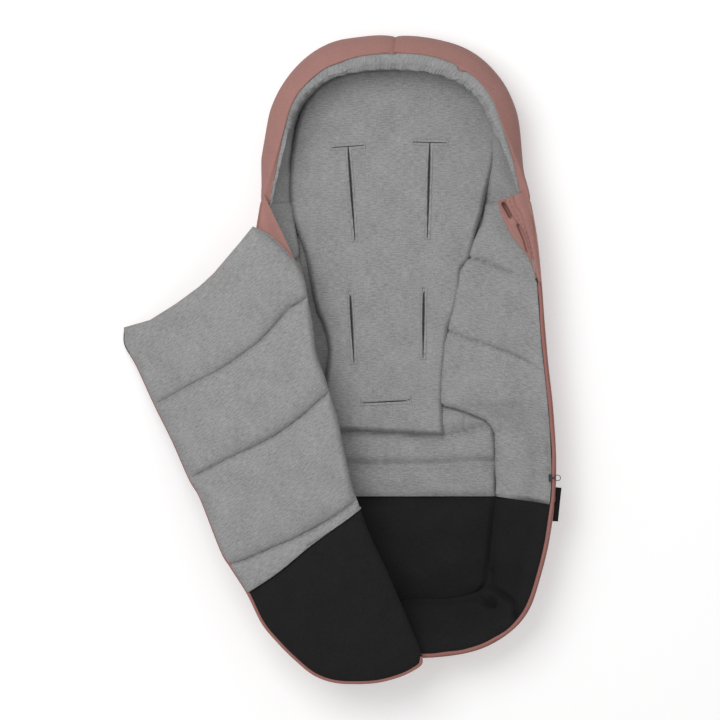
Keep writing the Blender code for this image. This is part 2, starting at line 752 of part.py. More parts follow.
def cover_rows(first, last):
    """Rows of the cover between two sewn rows, with how full each one is."""
    rows = []
    for index in range(first, last):
        (shares_a, full_a), (shares_b, full_b) = cover_rows_shares[index], cover_rows_shares[index + 1]
        row_a, row_b = cover_row(shares_a), cover_row(shares_b)
        for step in row_step_shares:
            fullness = mix(full_a, full_b, step)
            fullness = mix(fullness, 1.0, sin(pi * step) ** 0.6)
            points = [along_line(row_a, k / 8).lerp(along_line(row_b, k / 8), step) for k in range(9)]
            points[0].x = fold_x(points[0].y) - FOLD_GAP
            rows.append((points, fullness))
    shares, full = cover_rows_shares[last]
    end = cover_row(shares)
    rows.append(([along_line(end, k / 8) for k in range(9)], full))
    return rows


def cover_grid(rows, columns, part):
    """Plan places and thicknesses for the flat part or the drooping part of the cover."""
    grid = []
    for points, fullness in rows:
        split = droop_share(points)
        line = []
        for share, edge in columns:
            if part == "flat":
                place = along_line(points, share * split)
                fade = edge if split == 1.0 else 1.0
            else:
                place = along_line(points, mix(split, 1.0, share))
                fade = edge
            thick = mix(COVER_EDGE_THICK, COVER_THICK, fullness * fade)
            line.append((place, thick))
        grid.append(line)
    return grid


def cover_layer(name, grid, low, high, finish):
    """A layer of the cover between two heights; one below zero counts down from the cover's top."""
    def level(place, thick, at, counts_down):
        foot = FOLD_HEIGHT + FOLD_GAP / 2 - droop(place)
        return Vector((place.x, place.y, foot + at + (thick if counts_down else 0)))

    outside = high <= 0
    top = [[level(p, t, high, outside) for p, t in line] for line in grid]
    bottom = [[level(p, t, low, outside and low < 0) for p, t in line] for line in grid]
    return slab(name, top, bottom, finish)


def tube(name, path, radius, sides, finish):
    """A round tube along points, with flat ends."""
    rings = []
    for index, point in enumerate(path):
        before, after = path[max(index - 1, 0)], path[min(index + 1, len(path) - 1)]
        along = (after - before).normalized()
        flat = along.cross(Vector((0, 0, 1))).normalized()
        up = flat.cross(along)
        rings.append([point + flat * radius * cos(2 * pi * k / sides) + up * radius * sin(2 * pi * k / sides)
                      for k in range(sides)])
    return loft(name, rings, finish)


def edge_path(edge, outward, lift):
    """Places beside the cover's free edge, moved outwards in plan and up from its underside."""
    path = []
    for index, place in enumerate(edge):
        before, after = edge[max(index - 1, 0)], edge[min(index + 1, len(edge) - 1)]
        along = (after - before).normalized()
        normal = Vector((along.y, -along.x))
        moved = place + normal * outward
        path.append(Vector((moved.x, moved.y, FOLD_HEIGHT + FOLD_GAP / 2 - droop(place) + lift)))
    return path


def strip(name, edge, finish):
    """A flat zip tape below the cover's free edge."""
    low = -GAP - TAPE_THICK
    outer_low, inner_low = edge_path(edge, 0, low), edge_path(edge, -COVER_TAPE_WIDTH, low)
    lift = Vector((0, 0, TAPE_THICK))
    rings = [[a, b, b + lift, a + lift] for a, b in zip(outer_low, inner_low)]
    return loft(name, rings, finish)


def build_cover():
    """The quilted cover: a flat part that folds, and a part that droops over the left rim."""
    last = len(cover_rows_shares) - 1
    grey_rows = cover_rows(0, toe_seam_row)
    side_rows = cover_rows(0, toe_seam_row - 1)
    black_rows = cover_rows(toe_seam_row, last)
    seam = GAP / (HALF_LENGTH * toe_row_share)
    first, second = black_rows[0], black_rows[1]
    black_rows[0] = ([a.lerp(b, seam) for a, b in zip(first[0], second[0])], first[1])
    every_row = grey_rows[:-1] + black_rows
    inner, top = FABRIC + GAP, -FABRIC - GAP
    flat = cover_grid(every_row, flat_column_shares, "flat")
    cover_layer("cover_shell", flat, 0, FABRIC, "rose")
    cover_layer("cover_wadding", flat, inner, top, "wadding")
    cover_layer("cover_lining", cover_grid(grey_rows, flat_column_shares, "flat"), -FABRIC, 0, "grey")
    cover_layer("cover_toe_lining", cover_grid(black_rows, flat_column_shares, "flat"), -FABRIC, 0, "black")
    side = cover_grid(side_rows, side_column_shares, "side")
    side = [[(Vector((p.x - GAP, p.y)), t) for p, t in line] for line in side]
    cover_layer("cover_side_shell", side, 0, FABRIC, "rose")
    cover_layer("cover_side_wadding", side, inner, top, "wadding")
    cover_layer("cover_side_lining", side, -FABRIC, 0, "grey")
    toe_edge = [line[-1][0] for line in flat[len(side_rows):]]
    toe_edge += [place for place, thick in flat[-1][::-1]][1:]
    side_edge = [line[-1][0] for line in side]
    beside = COVER_PIPING_RADIUS + GAP
    middle = COVER_EDGE_THICK / 2
    toe_path, side_path = edge_path(toe_edge, beside, middle), edge_path(side_edge, beside, middle)
    tube("cover_piping", toe_path, COVER_PIPING_RADIUS, 6, "rose_dark")
    pin_end = side_path[1]
    pin_gap = (side_path[2] - pin_end).normalized() * GAP
    tube("cover_side_piping", [pin_end + pin_gap] + side_path[2:], COVER_PIPING_RADIUS, 6, "rose_dark")
    tube("cover_zip_pin", [side_path[0], pin_end], COVER_PIPING_RADIUS, 6, "tape")
    strip("cover_zip_tape", toe_edge[:-4], "tape")
    strip("cover_side_zip_tape", side_edge, "tape")


def build_root():
    """The part of the cover that stays sewn along the left rim, under the fold."""
    top_share = share_at(root_top_share * HALF_LENGTH)
    steps = 16
    rows = []
    for k in range(steps + 1):
        share = k / steps
        station = Station(mix(top_share, 0, share ** root_spread_share), -1)
        left = station.rim + station.inward * FABRIC
        y = mix(FOLD_TOP_Y, root_end_share * HALF_LENGTH, share)
        right = Vector((fold_x(y) - FOLD_GAP, y))
        rows.append([left.lerp(right, across) for across, full in root_column_shares])
    low = ROOT_LOW

    def layer(name, from_low, to_high, finish):
        top, bottom = [], []
        for row in rows:
            thicks = [mix(COVER_EDGE_THICK, ROOT_THICK, full) for across, full in root_column_shares]
            tops = [low + (to_high if to_high > 0 else t + to_high) for t in thicks]
            lows = [low + (from_low if from_low >= 0 else t + from_low) for t in thicks]
            top.append([Vector((p.x, p.y, z)) for p, z in zip(row, tops)])
            bottom.append([Vector((p.x, p.y, z)) for p, z in zip(row, lows)])
        slab(name, top, bottom, finish)

    layer("cover_root_lining", 0, FABRIC, "grey")
    layer("cover_root_wadding", FABRIC + GAP, -FABRIC - GAP, "wadding")
    layer("cover_root_shell", -FABRIC, 0, "rose")


def block(name, frame, near, far, half_length, finish, shift=0):
    """A box in a frame of (origin, along, inward): near and far are (depth, height) corners."""
    origin, along, inward = frame
    rings = []
    for place in (shift - half_length, shift + half_length):
        ring = []
        for depth, height in ((near[0], near[1]), (far[0], near[1]), (far[0], far[1]), (near[0], far[1])):
            flat = origin + along * place + inward * depth
            ring.append(Vector((flat.x, flat.y, height)))
        rings.append(ring)
    return loft(name, rings, finish)


def joined(thing, others, operation):
    """Other shapes united with, or cut from, one sub-part."""
    for other in others:
        other.hide_render = True
        other.display_type = "WIRE"
        modifier = thing.modifiers.new(other.name, "BOOLEAN")
        modifier.operation = operation
        modifier.solver = "EXACT"
        modifier.object = other


def slider_frame():
    """The slider's place on the right rim, the way it travels, and the way inwards."""
    here = Station(share_at(SLIDER_Y), 1)
    ahead = Station(share_at(SLIDER_Y + SLIDER_TRAVEL), 1)
    along = (ahead.rim - here.rim).normalized()
    inward = Vector((-along.y, along.x))
    return here, (here.rim, along, inward)


def disc(name, centre, radius, low, high, sides, finish):
    outline = [Vector((centre.x + radius * cos(2 * pi * k / sides), centre.y + radius * sin(2 * pi * k / sides)))
               for k in range(sides)]
    return plate(name, outline, low, high, finish)


def build_slider():
    """The zip slider on the open half of the coil, and the pull that hangs out over the piping."""
    station, frame = slider_frame()
    origin, along, inward = frame
    near = PIPING_INSET + PIPING_RADIUS + SLIDER_CLEAR
    far = GAP + TAPE_WIDTH + SLIDER_CLEAR * 2 + SLIDER_PLATE
    centre = (near + far) / 2
    floor = tape_top(station) - TAPE_THICK - SLIDER_CLEAR
    roof = coil_height(station) + COIL_RADIUS + SLIDER_CLEAR
    low, high = floor - SLIDER_PLATE, roof + SLIDER_PLATE
    body = block("zip_slider", frame, (near, low), (far, high), SLIDER_LENGTH / 2, "metal")
    channel = block("cutter_slider_channel", frame, (near - TAPE_WIDTH, floor),
                    (far - SLIDER_PLATE, roof), SLIDER_LENGTH, "metal")
    joined(body, [channel], "DIFFERENCE")
    ear_place = SLIDER_LENGTH / 2 - EAR_THICK / 2 - GAP
    ears = []
    for side, word in ((1, "front"), (-1, "rear")):
        ears.append(block("cutter_slider_ear_" + word, frame, (centre - EAR_DEPTH / 2, high - SLIDER_PLATE / 2),
                          (centre + EAR_DEPTH / 2, high + EAR_HEIGHT), EAR_THICK / 2, "metal",
                          side * ear_place))
    joined(body, ears, "UNION")
    pull_low = tape_top(station) + GAP + PIPING_RADIUS * 2 + PULL_CLEAR
    pull_high = pull_low + PULL_THICK
    bar_half = SLIDER_LENGTH / 2 - EAR_THICK - GAP * 2
    pull = block("zip_puller", frame, (centre - PULL_BAR / 2, pull_low), (centre + PULL_BAR / 2, pull_high),
                 bar_half, "metal")
    ring_inner = RING_RADIUS - RING_WIRE
    tab_thin = PULL_THICK * pull_tab_share
    tab = block("cutter_pull_tab", frame, (ring_inner - RING_OUT + GAP, pull_low + tab_thin),
                (centre, pull_high - tab_thin), PULL_WIDTH / 2, "metal")
    ring_centre = origin - inward * RING_OUT
    ring = disc("cutter_pull_ring", ring_centre, RING_RADIUS, pull_low, pull_high, 16, "metal")
    hole = disc("cutter_pull_hole", ring_centre, ring_inner, pull_low - PULL_THICK, pull_high + PULL_THICK, 16,
                "metal")
    joined(pull, [tab, ring], "UNION")
    joined(pull, [hole], "DIFFERENCE")
    axle = origin + inward * centre
    carry("pull_axis", Vector((axle.x, axle.y, (pull_low + pull_high) / 2)), ("zip_puller",))
    carry("slider_way", Vector((axle.x, axle.y, roof)), ("zip_slider",))


def build_stop():
    """The small stop clamped on the coil's upper end."""
    start = Station(piping_start_share, 1)
    ahead = Station(piping_start_share - half_gap_share(), 1)
    along = (start.rim - ahead.rim).normalized()
    frame = (start.rim, along, Vector((-along.y, along.x)))
    centre, height = coil_depth(start), coil_height(start)
    half = STOP_WIDTH / 2
    block("zip_stop", frame, (centre - half, height - half), (centre + half, height + half), STOP_LENGTH / 2,
          "tape", GAP * 3 + STOP_LENGTH / 2)


def carry(name, place, nodes):
    """An empty on a joint's axis, which carries the pieces that move about it."""
    empty = bpy.data.objects.new(name, None)
    empty.location = place
    bpy.context.scene.collection.objects.link(empty)
    bpy.context.view_layer.update()
    for node in nodes:
        thing = bpy.data.objects[node]
        thing.parent = empty
        thing.matrix_parent_inverse = empty.matrix_world.inverted()


def build_axes():
    """Empties on the fold and on the droop line."""
    carry("fold_axis", Vector((FOLD_TOP_X, FOLD_TOP_Y, FOLD_HEIGHT)),
          ("cover_shell", "cover_wadding", "cover_lining", "cover_toe_lining", "cover_piping", "cover_zip_tape"))
    droop_height = FOLD_HEIGHT + FOLD_GAP / 2 + COVER_THICK
    carry("droop_axis", Vector((DROOP_TOP_X, DROOP_TOP_Y, droop_height)),
          ("cover_side_shell", "cover_side_wadding", "cover_side_lining", "cover_side_piping",
           "cover_side_zip_tape", "cover_zip_pin"))


def build_all():
    clear_scene()
    build_walls()
    build_floor()
    build_rim()
    build_root()
    build_cover()
    build_slider()
    build_stop()
    build_axes()


build_all()
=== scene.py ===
# %% [markdown]
# # A padded stroller footmuff, unzipped and laid open on its back
#
# The real thing is a bag of quilted cloth: a rose shell outside, wadding in the middle, and a grey
# jersey lining that turns black at the foot. It lies on its back here, seen from straight above,
# with its cover folded over to the left.
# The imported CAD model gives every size. This script dresses it: cloth surfaces are grids of points,
# each grid gets a thickness, and seams and folds are pressed into it before the faces are made.

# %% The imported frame
from math import cos, pi, radians, sin, tan

import bmesh
import bpy
import numpy as np
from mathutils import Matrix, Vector


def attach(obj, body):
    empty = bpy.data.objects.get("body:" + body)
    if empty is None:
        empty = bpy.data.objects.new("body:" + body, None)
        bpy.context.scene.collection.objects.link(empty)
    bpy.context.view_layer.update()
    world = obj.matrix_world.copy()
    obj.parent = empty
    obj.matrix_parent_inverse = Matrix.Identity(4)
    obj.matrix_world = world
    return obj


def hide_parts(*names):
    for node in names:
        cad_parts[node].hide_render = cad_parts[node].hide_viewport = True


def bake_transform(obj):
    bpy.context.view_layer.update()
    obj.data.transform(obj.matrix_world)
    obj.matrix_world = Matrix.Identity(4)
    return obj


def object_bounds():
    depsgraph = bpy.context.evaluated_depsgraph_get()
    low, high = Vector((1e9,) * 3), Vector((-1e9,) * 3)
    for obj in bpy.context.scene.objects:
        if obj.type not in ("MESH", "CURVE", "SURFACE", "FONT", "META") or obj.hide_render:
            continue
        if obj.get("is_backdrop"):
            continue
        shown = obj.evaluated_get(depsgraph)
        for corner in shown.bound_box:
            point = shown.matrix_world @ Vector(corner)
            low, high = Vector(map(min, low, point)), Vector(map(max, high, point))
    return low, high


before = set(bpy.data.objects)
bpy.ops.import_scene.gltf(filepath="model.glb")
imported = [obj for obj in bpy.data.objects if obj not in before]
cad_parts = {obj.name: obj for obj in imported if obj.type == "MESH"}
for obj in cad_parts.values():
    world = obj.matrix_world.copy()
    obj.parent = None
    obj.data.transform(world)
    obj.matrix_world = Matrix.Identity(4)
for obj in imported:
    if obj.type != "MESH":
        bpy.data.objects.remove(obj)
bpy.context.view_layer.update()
MM = 0.001

# %% [markdown]
# ## The camera
#
# A flat lay is taken from straight above with a long lens, so that the rim and the floor keep nearly
# the same scale. `at` turns a place in the photo into a place in the frame. It needs the height of
# the surface that is seen there, because higher things look a little larger.

# %% Camera and photo scale
PHOTO_SIZE = 720
FRAME_WIDTH = 1080 * MM
REFERENCE_HEIGHT = 90 * MM
CAMERA_DISTANCE = 6000 * MM
SENSOR_WIDTH = 36.0
VIEW_CENTRE = np.array((-54 * MM, -21 * MM))


def at(pixels, height=REFERENCE_HEIGHT):
    """Places in the frame, in plan, for places in the photo that are seen at a height."""
    offset = (np.asarray(pixels, float) - PHOTO_SIZE / 2) * (1, -1) * FRAME_WIDTH / PHOTO_SIZE
    shrink = (CAMERA_DISTANCE + REFERENCE_HEIGHT - height) / CAMERA_DISTANCE
    return VIEW_CENTRE + offset * shrink


camera = bpy.data.objects.new("camera", bpy.data.cameras.new("camera"))
camera.data.sensor_width = SENSOR_WIDTH
camera.data.lens = SENSOR_WIDTH * CAMERA_DISTANCE / FRAME_WIDTH
camera.data.clip_end = 100
camera.location = (VIEW_CENTRE[0], VIEW_CENTRE[1], REFERENCE_HEIGHT + CAMERA_DISTANCE)
bpy.context.scene.collection.objects.link(camera)
bpy.context.scene.camera = camera
print("lens in mm:", round(camera.data.lens))

# %% [markdown]
# ## Materials
#
# Cloth is never one flat colour. The jersey is a melange knit: light and dark fibres are spun into
# one yarn, so it shows short slubs that run along the knitted rows. The shell is a fine woven
# polyester, almost even in colour. Both take their pattern from a UV map in real metres, so that a
# slub stays 9 mm long on every piece, and follows the cloth when the cover is folded.

# %% Material helpers
def linear(colour):
    """A hex sRGB colour as linear red, green, blue and alpha."""
    parts = [int(colour[k:k + 2], 16) / 255 for k in (1, 3, 5)]
    return [c / 12.92 if c <= 0.04045 else ((c + 0.055) / 1.055) ** 2.4 for c in parts] + [1.0]


def add(tree, kind, settings=None, links=None):
    """Adds a node with its settings, and links other nodes' outputs to its inputs."""
    made = tree.nodes.new("ShaderNode" + kind)
    for key, value in (settings or {}).items():
        if isinstance(key, int) or key in made.inputs:
            made.inputs[key].default_value = value
        else:
            setattr(made, key, value)
    for key, source in (links or {}).items():
        tree.links.new(source, made.inputs[key])
    return made


def material(name, colour, roughness, metallic=0.0, sheen=0.0, gloss=0.5):
    """A material with its shader, ready for a pattern."""
    made = bpy.data.materials.new(name)
    made.use_nodes = True
    shader = made.node_tree.nodes["Principled BSDF"]
    shader.inputs["Base Color"].default_value = linear(colour)
    shader.inputs["Roughness"].default_value = roughness
    shader.inputs["Metallic"].default_value = metallic
    shader.inputs["Sheen Weight"].default_value = sheen
    shader.inputs["Sheen Roughness"].default_value = 0.5
    shader.inputs["Specular IOR Level"].default_value = gloss
    return made, made.node_tree, shader


def noise(tree, coordinates, size, detail=2.0, stretch=(1, 1, 1)):
    """Soft random patches of a real size in metres, drawn out along an axis by stretch."""
    scaled = add(tree, "Mapping", {"Scale": [1 / (size * s) for s in stretch]}, {"Vector": coordinates})
    return add(tree, "TexNoise", {"Scale": 1.0, "Detail": detail}, {"Vector": scaled.outputs[0]}).outputs[0]


def tinted(tree, amount, dark, light, low, high):
    """A colour between two hex colours, as a pattern goes from low to high."""
    spread = add(tree, "MapRange", {1: low, 2: high}, {0: amount}).outputs[0]
    return add(tree, "Mix", {"data_type": "RGBA", 6: linear(dark), 7: linear(light)}, {0: spread}).outputs[2]


def bumped(tree, shader, height, depth):
    """Relief of a real depth in metres from a pattern."""
    bump = add(tree, "Bump", {"Strength": 1.0, "Distance": depth}, {"Height": height})
    tree.links.new(bump.outputs[0], shader.inputs["Normal"])


# %% [markdown]
# The melange pattern is three noises: slubs 9 mm by 1.7 mm, single fibres 3 mm by 1 mm, and the slow
# change of shade over a hand's width. The woven cloths cross warp and weft instead. The real
# stitches are 0.7 mm wide, too fine to show, so the relief is drawn at 1.2 mm.

# %% Cloth materials
def coloured(tree, shader, threads, patches, amount, dark, light, low, high):
    """Colours a cloth by two kinds of thread and an amount of slow patches; returns the threads' pattern."""
    both = add(tree, "Math", {"operation": "ADD"}, dict(enumerate(threads))).outputs[0]
    every = add(tree, "Math", {"operation": "MULTIPLY_ADD", 1: amount}, {0: patches, 2: both}).outputs[0]
    tree.links.new(tinted(tree, every, dark, light, low, high), shader.inputs["Base Color"])
    return both


def jersey(name, dark, light):
    made, tree, shader = material(name, light, 0.92, sheen=0.06, gloss=0.15)
    uv = add(tree, "TexCoord").outputs["UV"]
    yarn = noise(tree, uv, 1.7 * MM, 3.0, (5.5, 1, 1)), noise(tree, uv, 1.0 * MM, 2.0, (3, 1, 1))
    coloured(tree, shader, yarn, noise(tree, uv, 40 * MM), 0.35, dark, light, 0.85, 1.50)
    bumped(tree, shader, noise(tree, uv, 1.2 * MM, 2.0, (2, 1, 1)), 0.35 * MM)
    return made


def woven(name, dark, light, roughness, sheen, thread):
    made, tree, shader = material(name, light, roughness, sheen=sheen, gloss=0.15)
    uv = add(tree, "TexCoord").outputs["UV"]
    warp_and_weft = [noise(tree, uv, thread, 1.0, way) for way in ((1, 6, 1), (6, 1, 1))]
    weave = coloured(tree, shader, warp_and_weft, noise(tree, uv, 30 * MM, 3.0), 0.6, dark, light, 0.9, 1.7)
    bumped(tree, shader, weave, 0.12 * MM)
    return made


grey_jersey = jersey("melange_cotton_jersey_knitted", "#808080", "#ACACAC")
rose_shell = woven("rose_polyester_shell_woven", "#A0756E", "#AE827B", 0.82, 0.05, 0.9 * MM)
rose_piping = woven("rose_polyester_piping_bias_cut", "#98665F", "#AB7870", 0.80, 0.05, 0.7 * MM)
black_lining = woven("black_polyester_lining_brushed", "#1D1D1E", "#262627", 0.95, 0.02, 1.2 * MM)
black_tape = woven("black_polyester_zip_tape_woven", "#141214", "#1E1A1B", 0.80, 0.0, 0.8 * MM)
rose_thread = woven("rose_polyester_thread_twisted", "#8E5F59", "#A5766F", 0.7, 0.0, 0.5 * MM)

# %% [markdown]
# The slider and its pull are zinc, die cast and then painted dark. Paint on a casting is smooth
# with a faint orange peel. The coil and the stops are nylon, as smooth but not metallic.

# %% Hard materials
def painted(name, colour, roughness, metallic):
    made, tree, shader = material(name, colour, roughness, metallic)
    place = add(tree, "TexCoord").outputs["Object"]
    bumped(tree, shader, noise(tree, place, 0.8 * MM, 2.0), 0.02 * MM)
    return made


dark_zinc = painted("zinc_die_cast_painted", "#4A4A4D", 0.32, 0.85)
black_nylon = painted("nylon_coil_moulded", "#1B1A1A", 0.45, 0.0)
print("materials:", len(bpy.data.materials))

# %% [markdown]
# ## Curves and cloth
#
# Every cloth piece is a grid of points: rows run one way and columns the other. `spline` makes a
# smooth curve through a few chosen rows, and `even` spaces points along a line. `cloth` gives the
# grid a thickness, closes its edges and adds the UV map.

# %% Curves
def spline(rows, places):
    """Points on a smooth curve through the rows; place 0 is the first row and 1 the second."""
    rows = np.asarray(rows, float)
    places = np.clip(places, 0, len(rows) - 1)
    index = np.minimum(np.asarray(places, int), len(rows) - 2)
    t = (places - index).reshape((-1,) + (1,) * (rows.ndim - 1))
    beyond = np.concatenate([[2 * rows[0] - rows[1]], rows, [2 * rows[-1] - rows[-2]]])
    a, b, c, d = (beyond[index + k] for k in range(4))
    return b + ((c - a) * t + (2 * a - 5 * b + 4 * c - d) * t**2 + (3 * b - a - 3 * c + d) * t**3) / 2


def smooth_rows(rows, count):
    """Each row again, as so many points on a smooth curve through its own."""
    return np.swapaxes(spline(np.swapaxes(rows, 0, 1), np.linspace(0, rows.shape[1] - 1, count)), 0, 1)


def length_to(line):
    """How far along the line each of its points lies."""
    return np.r_[0, np.cumsum(np.linalg.norm(np.diff(line, axis=0), axis=1))]


def on_line(line, places):
    """The points that lie this far along a line."""
    length = length_to(line)
    return np.stack([np.interp(places, length, part) for part in line.T], -1)


def even(line, count):
    """The line's points again, at equal steps along it."""
    line = np.asarray(line, float)
    return on_line(line, np.linspace(0, length_to(line)[-1], count))


def smooth(line, count):
    return even(spline(line, np.linspace(0, len(line) - 1, 40 * len(line))), count)


def traced(pixels, count, height=REFERENCE_HEIGHT):
    """A smooth line through places in the photo."""
    return smooth(at(pixels, height), count)


def ramp(value):
    return np.clip(value, 0, 1)


def ease(value):
    """From 0 to 1, gently at both ends."""
    value = ramp(value)
    return value * value * (3 - 2 * value)


def unit(vectors):
    """The same directions, each with a length of 1."""
    return vectors / np.linalg.norm(vectors, axis=-1, keepdims=True)


def mix(a, b, share):
    return a + (b - a) * share


def fade(value, reach=1.0):
    """From 1 at 0 down to 0 on both sides, as a bell does."""
    return np.exp(-(value / reach) ** 2)


def rounded(value):
    """A quarter circle: from 0 to 1, steep at first."""
    return np.sqrt(1 - (1 - ramp(value)) ** 2)


def finer_ends(count):
    """Shares from 0 to 1 that lie closer together near both ends."""
    return 0.5 - 0.5 * np.cos(np.linspace(0, pi, count))


def raised(flat, height):
    """Places in plan with a height for each, or one for all."""
    return np.concatenate([flat, np.broadcast_to(height, flat.shape[:-1])[..., None]], -1)


def nearest(points, line):
    """How far each point is from a line in plan, and how far along the line that is."""
    flat = points[..., :2]
    best, along, length = np.full(flat.shape[:-1], np.inf), np.zeros(flat.shape[:-1]), 0.0
    for a, b in zip(line[:-1], line[1:]):
        run = b - a
        size = np.linalg.norm(run)
        share = ramp(((flat - a) @ run) / size**2)
        gap = np.linalg.norm(flat - a - share[..., None] * run, axis=-1)
        along = np.where(gap < best, length + share * size, along)
        best = np.minimum(best, gap)
        length += size
    return best, along


def from_place(points, place):
    """How far each point is in plan from one place."""
    return np.linalg.norm(points[..., :2] - place, axis=-1)


def distance(points, *lines):
    """How far each point is in plan from the nearest of some lines."""
    return np.minimum.reduce([nearest(points, line)[0] for line in lines])


def puckers(points, lines, pitch, reach):
    """Small folds that stand square to sewn lines and die out away from them, between -1 and 1."""
    total = 0
    for number, line in enumerate(lines):
        gap, along = nearest(points, line)
        wave = np.sin(along * 2 * pi / pitch + 1.9 * np.sin(along * 2 * pi / (pitch * 3.7) + number))
        total = total + wave * np.exp(-gap / reach) * ramp(gap / (2 * MM))
    return total


def wobble(points, size, seed):
    """Gentle random hills between -1 and 1, about one size apart."""
    chance = np.random.default_rng(seed)
    total = 0
    for _ in range(7):
        angle, phase, pitch = chance.uniform(0, (2 * pi, 2 * pi, 1))
        wave = points[..., :2] @ (cos(angle), sin(angle)) * 2 * pi / (size * (0.7 + pitch))
        total = total + np.sin(wave + phase)
    return total / 4


def groove(gap, width, depth):
    """A sewn line pressed into cloth, from the distance to it."""
    return -depth * fade(gap, width)


def puff(gap, reach, height):
    """Wadding that swells away from a sewn line, from the distance to it."""
    return height * (1 - np.exp(-gap / reach))


# %% Cloth meshes
def normals_of(grid):
    normal = np.cross(np.gradient(grid, axis=0), np.gradient(grid, axis=1))
    return normal / np.maximum(np.linalg.norm(normal, axis=-1, keepdims=True), 1e-12)


def pushed(grid, normal, shift):
    """The grid moved along its normals."""
    return grid + normal * shift[..., None]


def cloth(name, grid, thick, finish, grain=None, towards=(0, 0, 9), away=None):
    """A sheet of cloth with its good side on the grid, facing towards or away from a point.

    grain turns the pattern in plan, in degrees; without it the pattern follows the sheet.
    """
    normal = normals_of(grid)
    aim = (np.array(towards) - grid) if away is None else (grid - np.array(away))
    side = 1 if (normal * aim).sum() > 0 else -1
    rows, columns = grid.shape[:2]
    back = grid - normal * side * thick
    points = np.concatenate([grid.reshape(-1, 3), back.reshape(-1, 3)])
    index = np.arange(rows * columns).reshape(rows, columns)
    a, b, c, d = index[:-1, :-1], index[:-1, 1:], index[1:, 1:], index[1:, :-1]
    front = np.stack([a, d, c, b], -1).reshape(-1, 4)[:, ::side]
    under = rows * columns
    rim = np.concatenate([index[0, :-1], index[:-1, -1], index[-1, :0:-1], index[:0:-1, 0]])
    following = np.roll(rim, -1)
    edge = np.stack([rim, following, following + under, rim + under], -1)[:, ::side]
    faces = np.concatenate([front, front[:, ::-1] + under, edge])
    if grain is None:
        u = np.cumsum(np.linalg.norm(np.diff(grid, axis=0, prepend=grid[:1]), axis=-1).mean(1))
        v = np.cumsum(np.linalg.norm(np.diff(grid, axis=1, prepend=grid[:, :1]), axis=-1), axis=1)
        flat = np.stack([v, np.broadcast_to(u[:, None], v.shape)], -1)
    else:
        turn = radians(grain)
        flat = grid[..., :2] @ np.array([[cos(turn), -sin(turn)], [sin(turn), cos(turn)]])
    return solid(name, points, faces, np.concatenate([flat.reshape(-1, 2)] * 2), finish)


def solid(name, points, faces, flat, finish):
    """An object from points and faces, with a UV place for each point."""
    mesh = bpy.data.meshes.new(name)
    mesh.from_pydata(np.asarray(points).tolist(), [], faces.tolist() if hasattr(faces, "tolist") else faces)
    corners = np.zeros(len(mesh.loops), int)
    mesh.loops.foreach_get("vertex_index", corners)
    mesh.uv_layers.new(name="cloth").data.foreach_set("uv", np.asarray(flat)[corners].ravel())
    mesh.shade_smooth()
    mesh.set_sharp_from_angle(angle=radians(55))
    mesh.materials.append(finish)
    made = bpy.data.objects.new(name, mesh)
    bpy.context.scene.collection.objects.link(made)
    return made


def tube(name, path, width, height, finish, sides=16, taper=0.0):
    """A round or oval cord of cloth along a path, closed at both ends."""
    path = np.asarray(path, float)
    along = unit(np.gradient(path, axis=0))
    across = unit(np.cross(along, (0, 0, 1)))
    up = np.cross(across, along)
    count = len(path)
    width, height = (np.broadcast_to(size, count)[:, None, None] for size in (width, height))
    turn = np.arange(sides) * 2 * pi / sides
    from_end = np.minimum(np.arange(count), np.arange(count)[::-1]) / max(taper * count, 1e-6)
    scale = np.sqrt(np.clip(from_end, 0.05, 1))[:, None, None] if taper else 1.0
    round_about = (across[:, None] * np.cos(turn)[None, :, None] * width
                   + up[:, None] * np.sin(turn)[None, :, None] * height) / 2
    points = (path[:, None] + round_about * scale).reshape(-1, 3)
    index = np.arange(count * sides).reshape(count, sides)
    beside = np.roll(index, -1, axis=1)
    faces = np.stack([index[:-1], beside[:-1], beside[1:], index[1:]], -1).reshape(-1, 4).tolist()
    faces += [index[0, ::-1].tolist(), index[-1].tolist()]
    flat = np.stack([np.repeat(length_to(path), sides), np.tile(turn * width.mean() / 2, count)], -1)
    return solid(name, points, faces, flat, finish)


def dress(piece, body, slot, *nodes, fill=None):
    """Puts a piece on a body and hides the CAD parts that it stands for; slot and fill are not used."""
    if body:
        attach(piece, body)
    if nodes:
        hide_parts(*nodes)
    print(piece.name, len(piece.data.vertices), "points")
    return piece


# %% [markdown]
# ## The wall
#
# The wall runs round the bag from the toe to the hood. It is one family of vertical sections, the
# same one that the CAD model uses: shares of the wall's depth in plan and of its height. Every
# wall piece is a smooth sweep of it, so shell, lining, piping and zip stay together.

# %% The wall's stations
HALF_WIDTH, HALF_LENGTH = 240 * MM, 467 * MM
RIM_HEIGHT, HOOD_HEIGHT = 80 * MM, 106 * MM
SEAT_SHIFT = -10 * MM
FABRIC = 1.5 * MM
BACK_THICK = 11.5 * MM
LIP_DEPTH = 4.2 * MM
# At each station: where the rim lies across and along, then the crease, in shares of the half sizes
wall_shares = np.array((
    (0.000, -1.000, 0.000, -0.822), (0.250, -0.998, 0.208, -0.822), (0.500, -0.976, 0.408, -0.818),
    (0.688, -0.927, 0.550, -0.801), (0.821, -0.852, 0.621, -0.764), (0.900, -0.739, 0.638, -0.696),
    (0.958, -0.610, 0.658, -0.589), (0.996, -0.439, 0.683, -0.439), (0.983, -0.238, 0.675, -0.246),
    (0.933, 0.019, 0.654, 0.011), (0.896, 0.268, 0.629, 0.268), (0.842, 0.469, 0.608, 0.469),
    (0.792, 0.606, 0.608, 0.600), (0.733, 0.749, 0.579, 0.717), (0.646, 0.852, 0.500, 0.788),
    (0.492, 0.936, 0.375, 0.831), (0.292, 0.983, 0.217, 0.852), (0.000, 1.000, 0.000, 0.861),
))
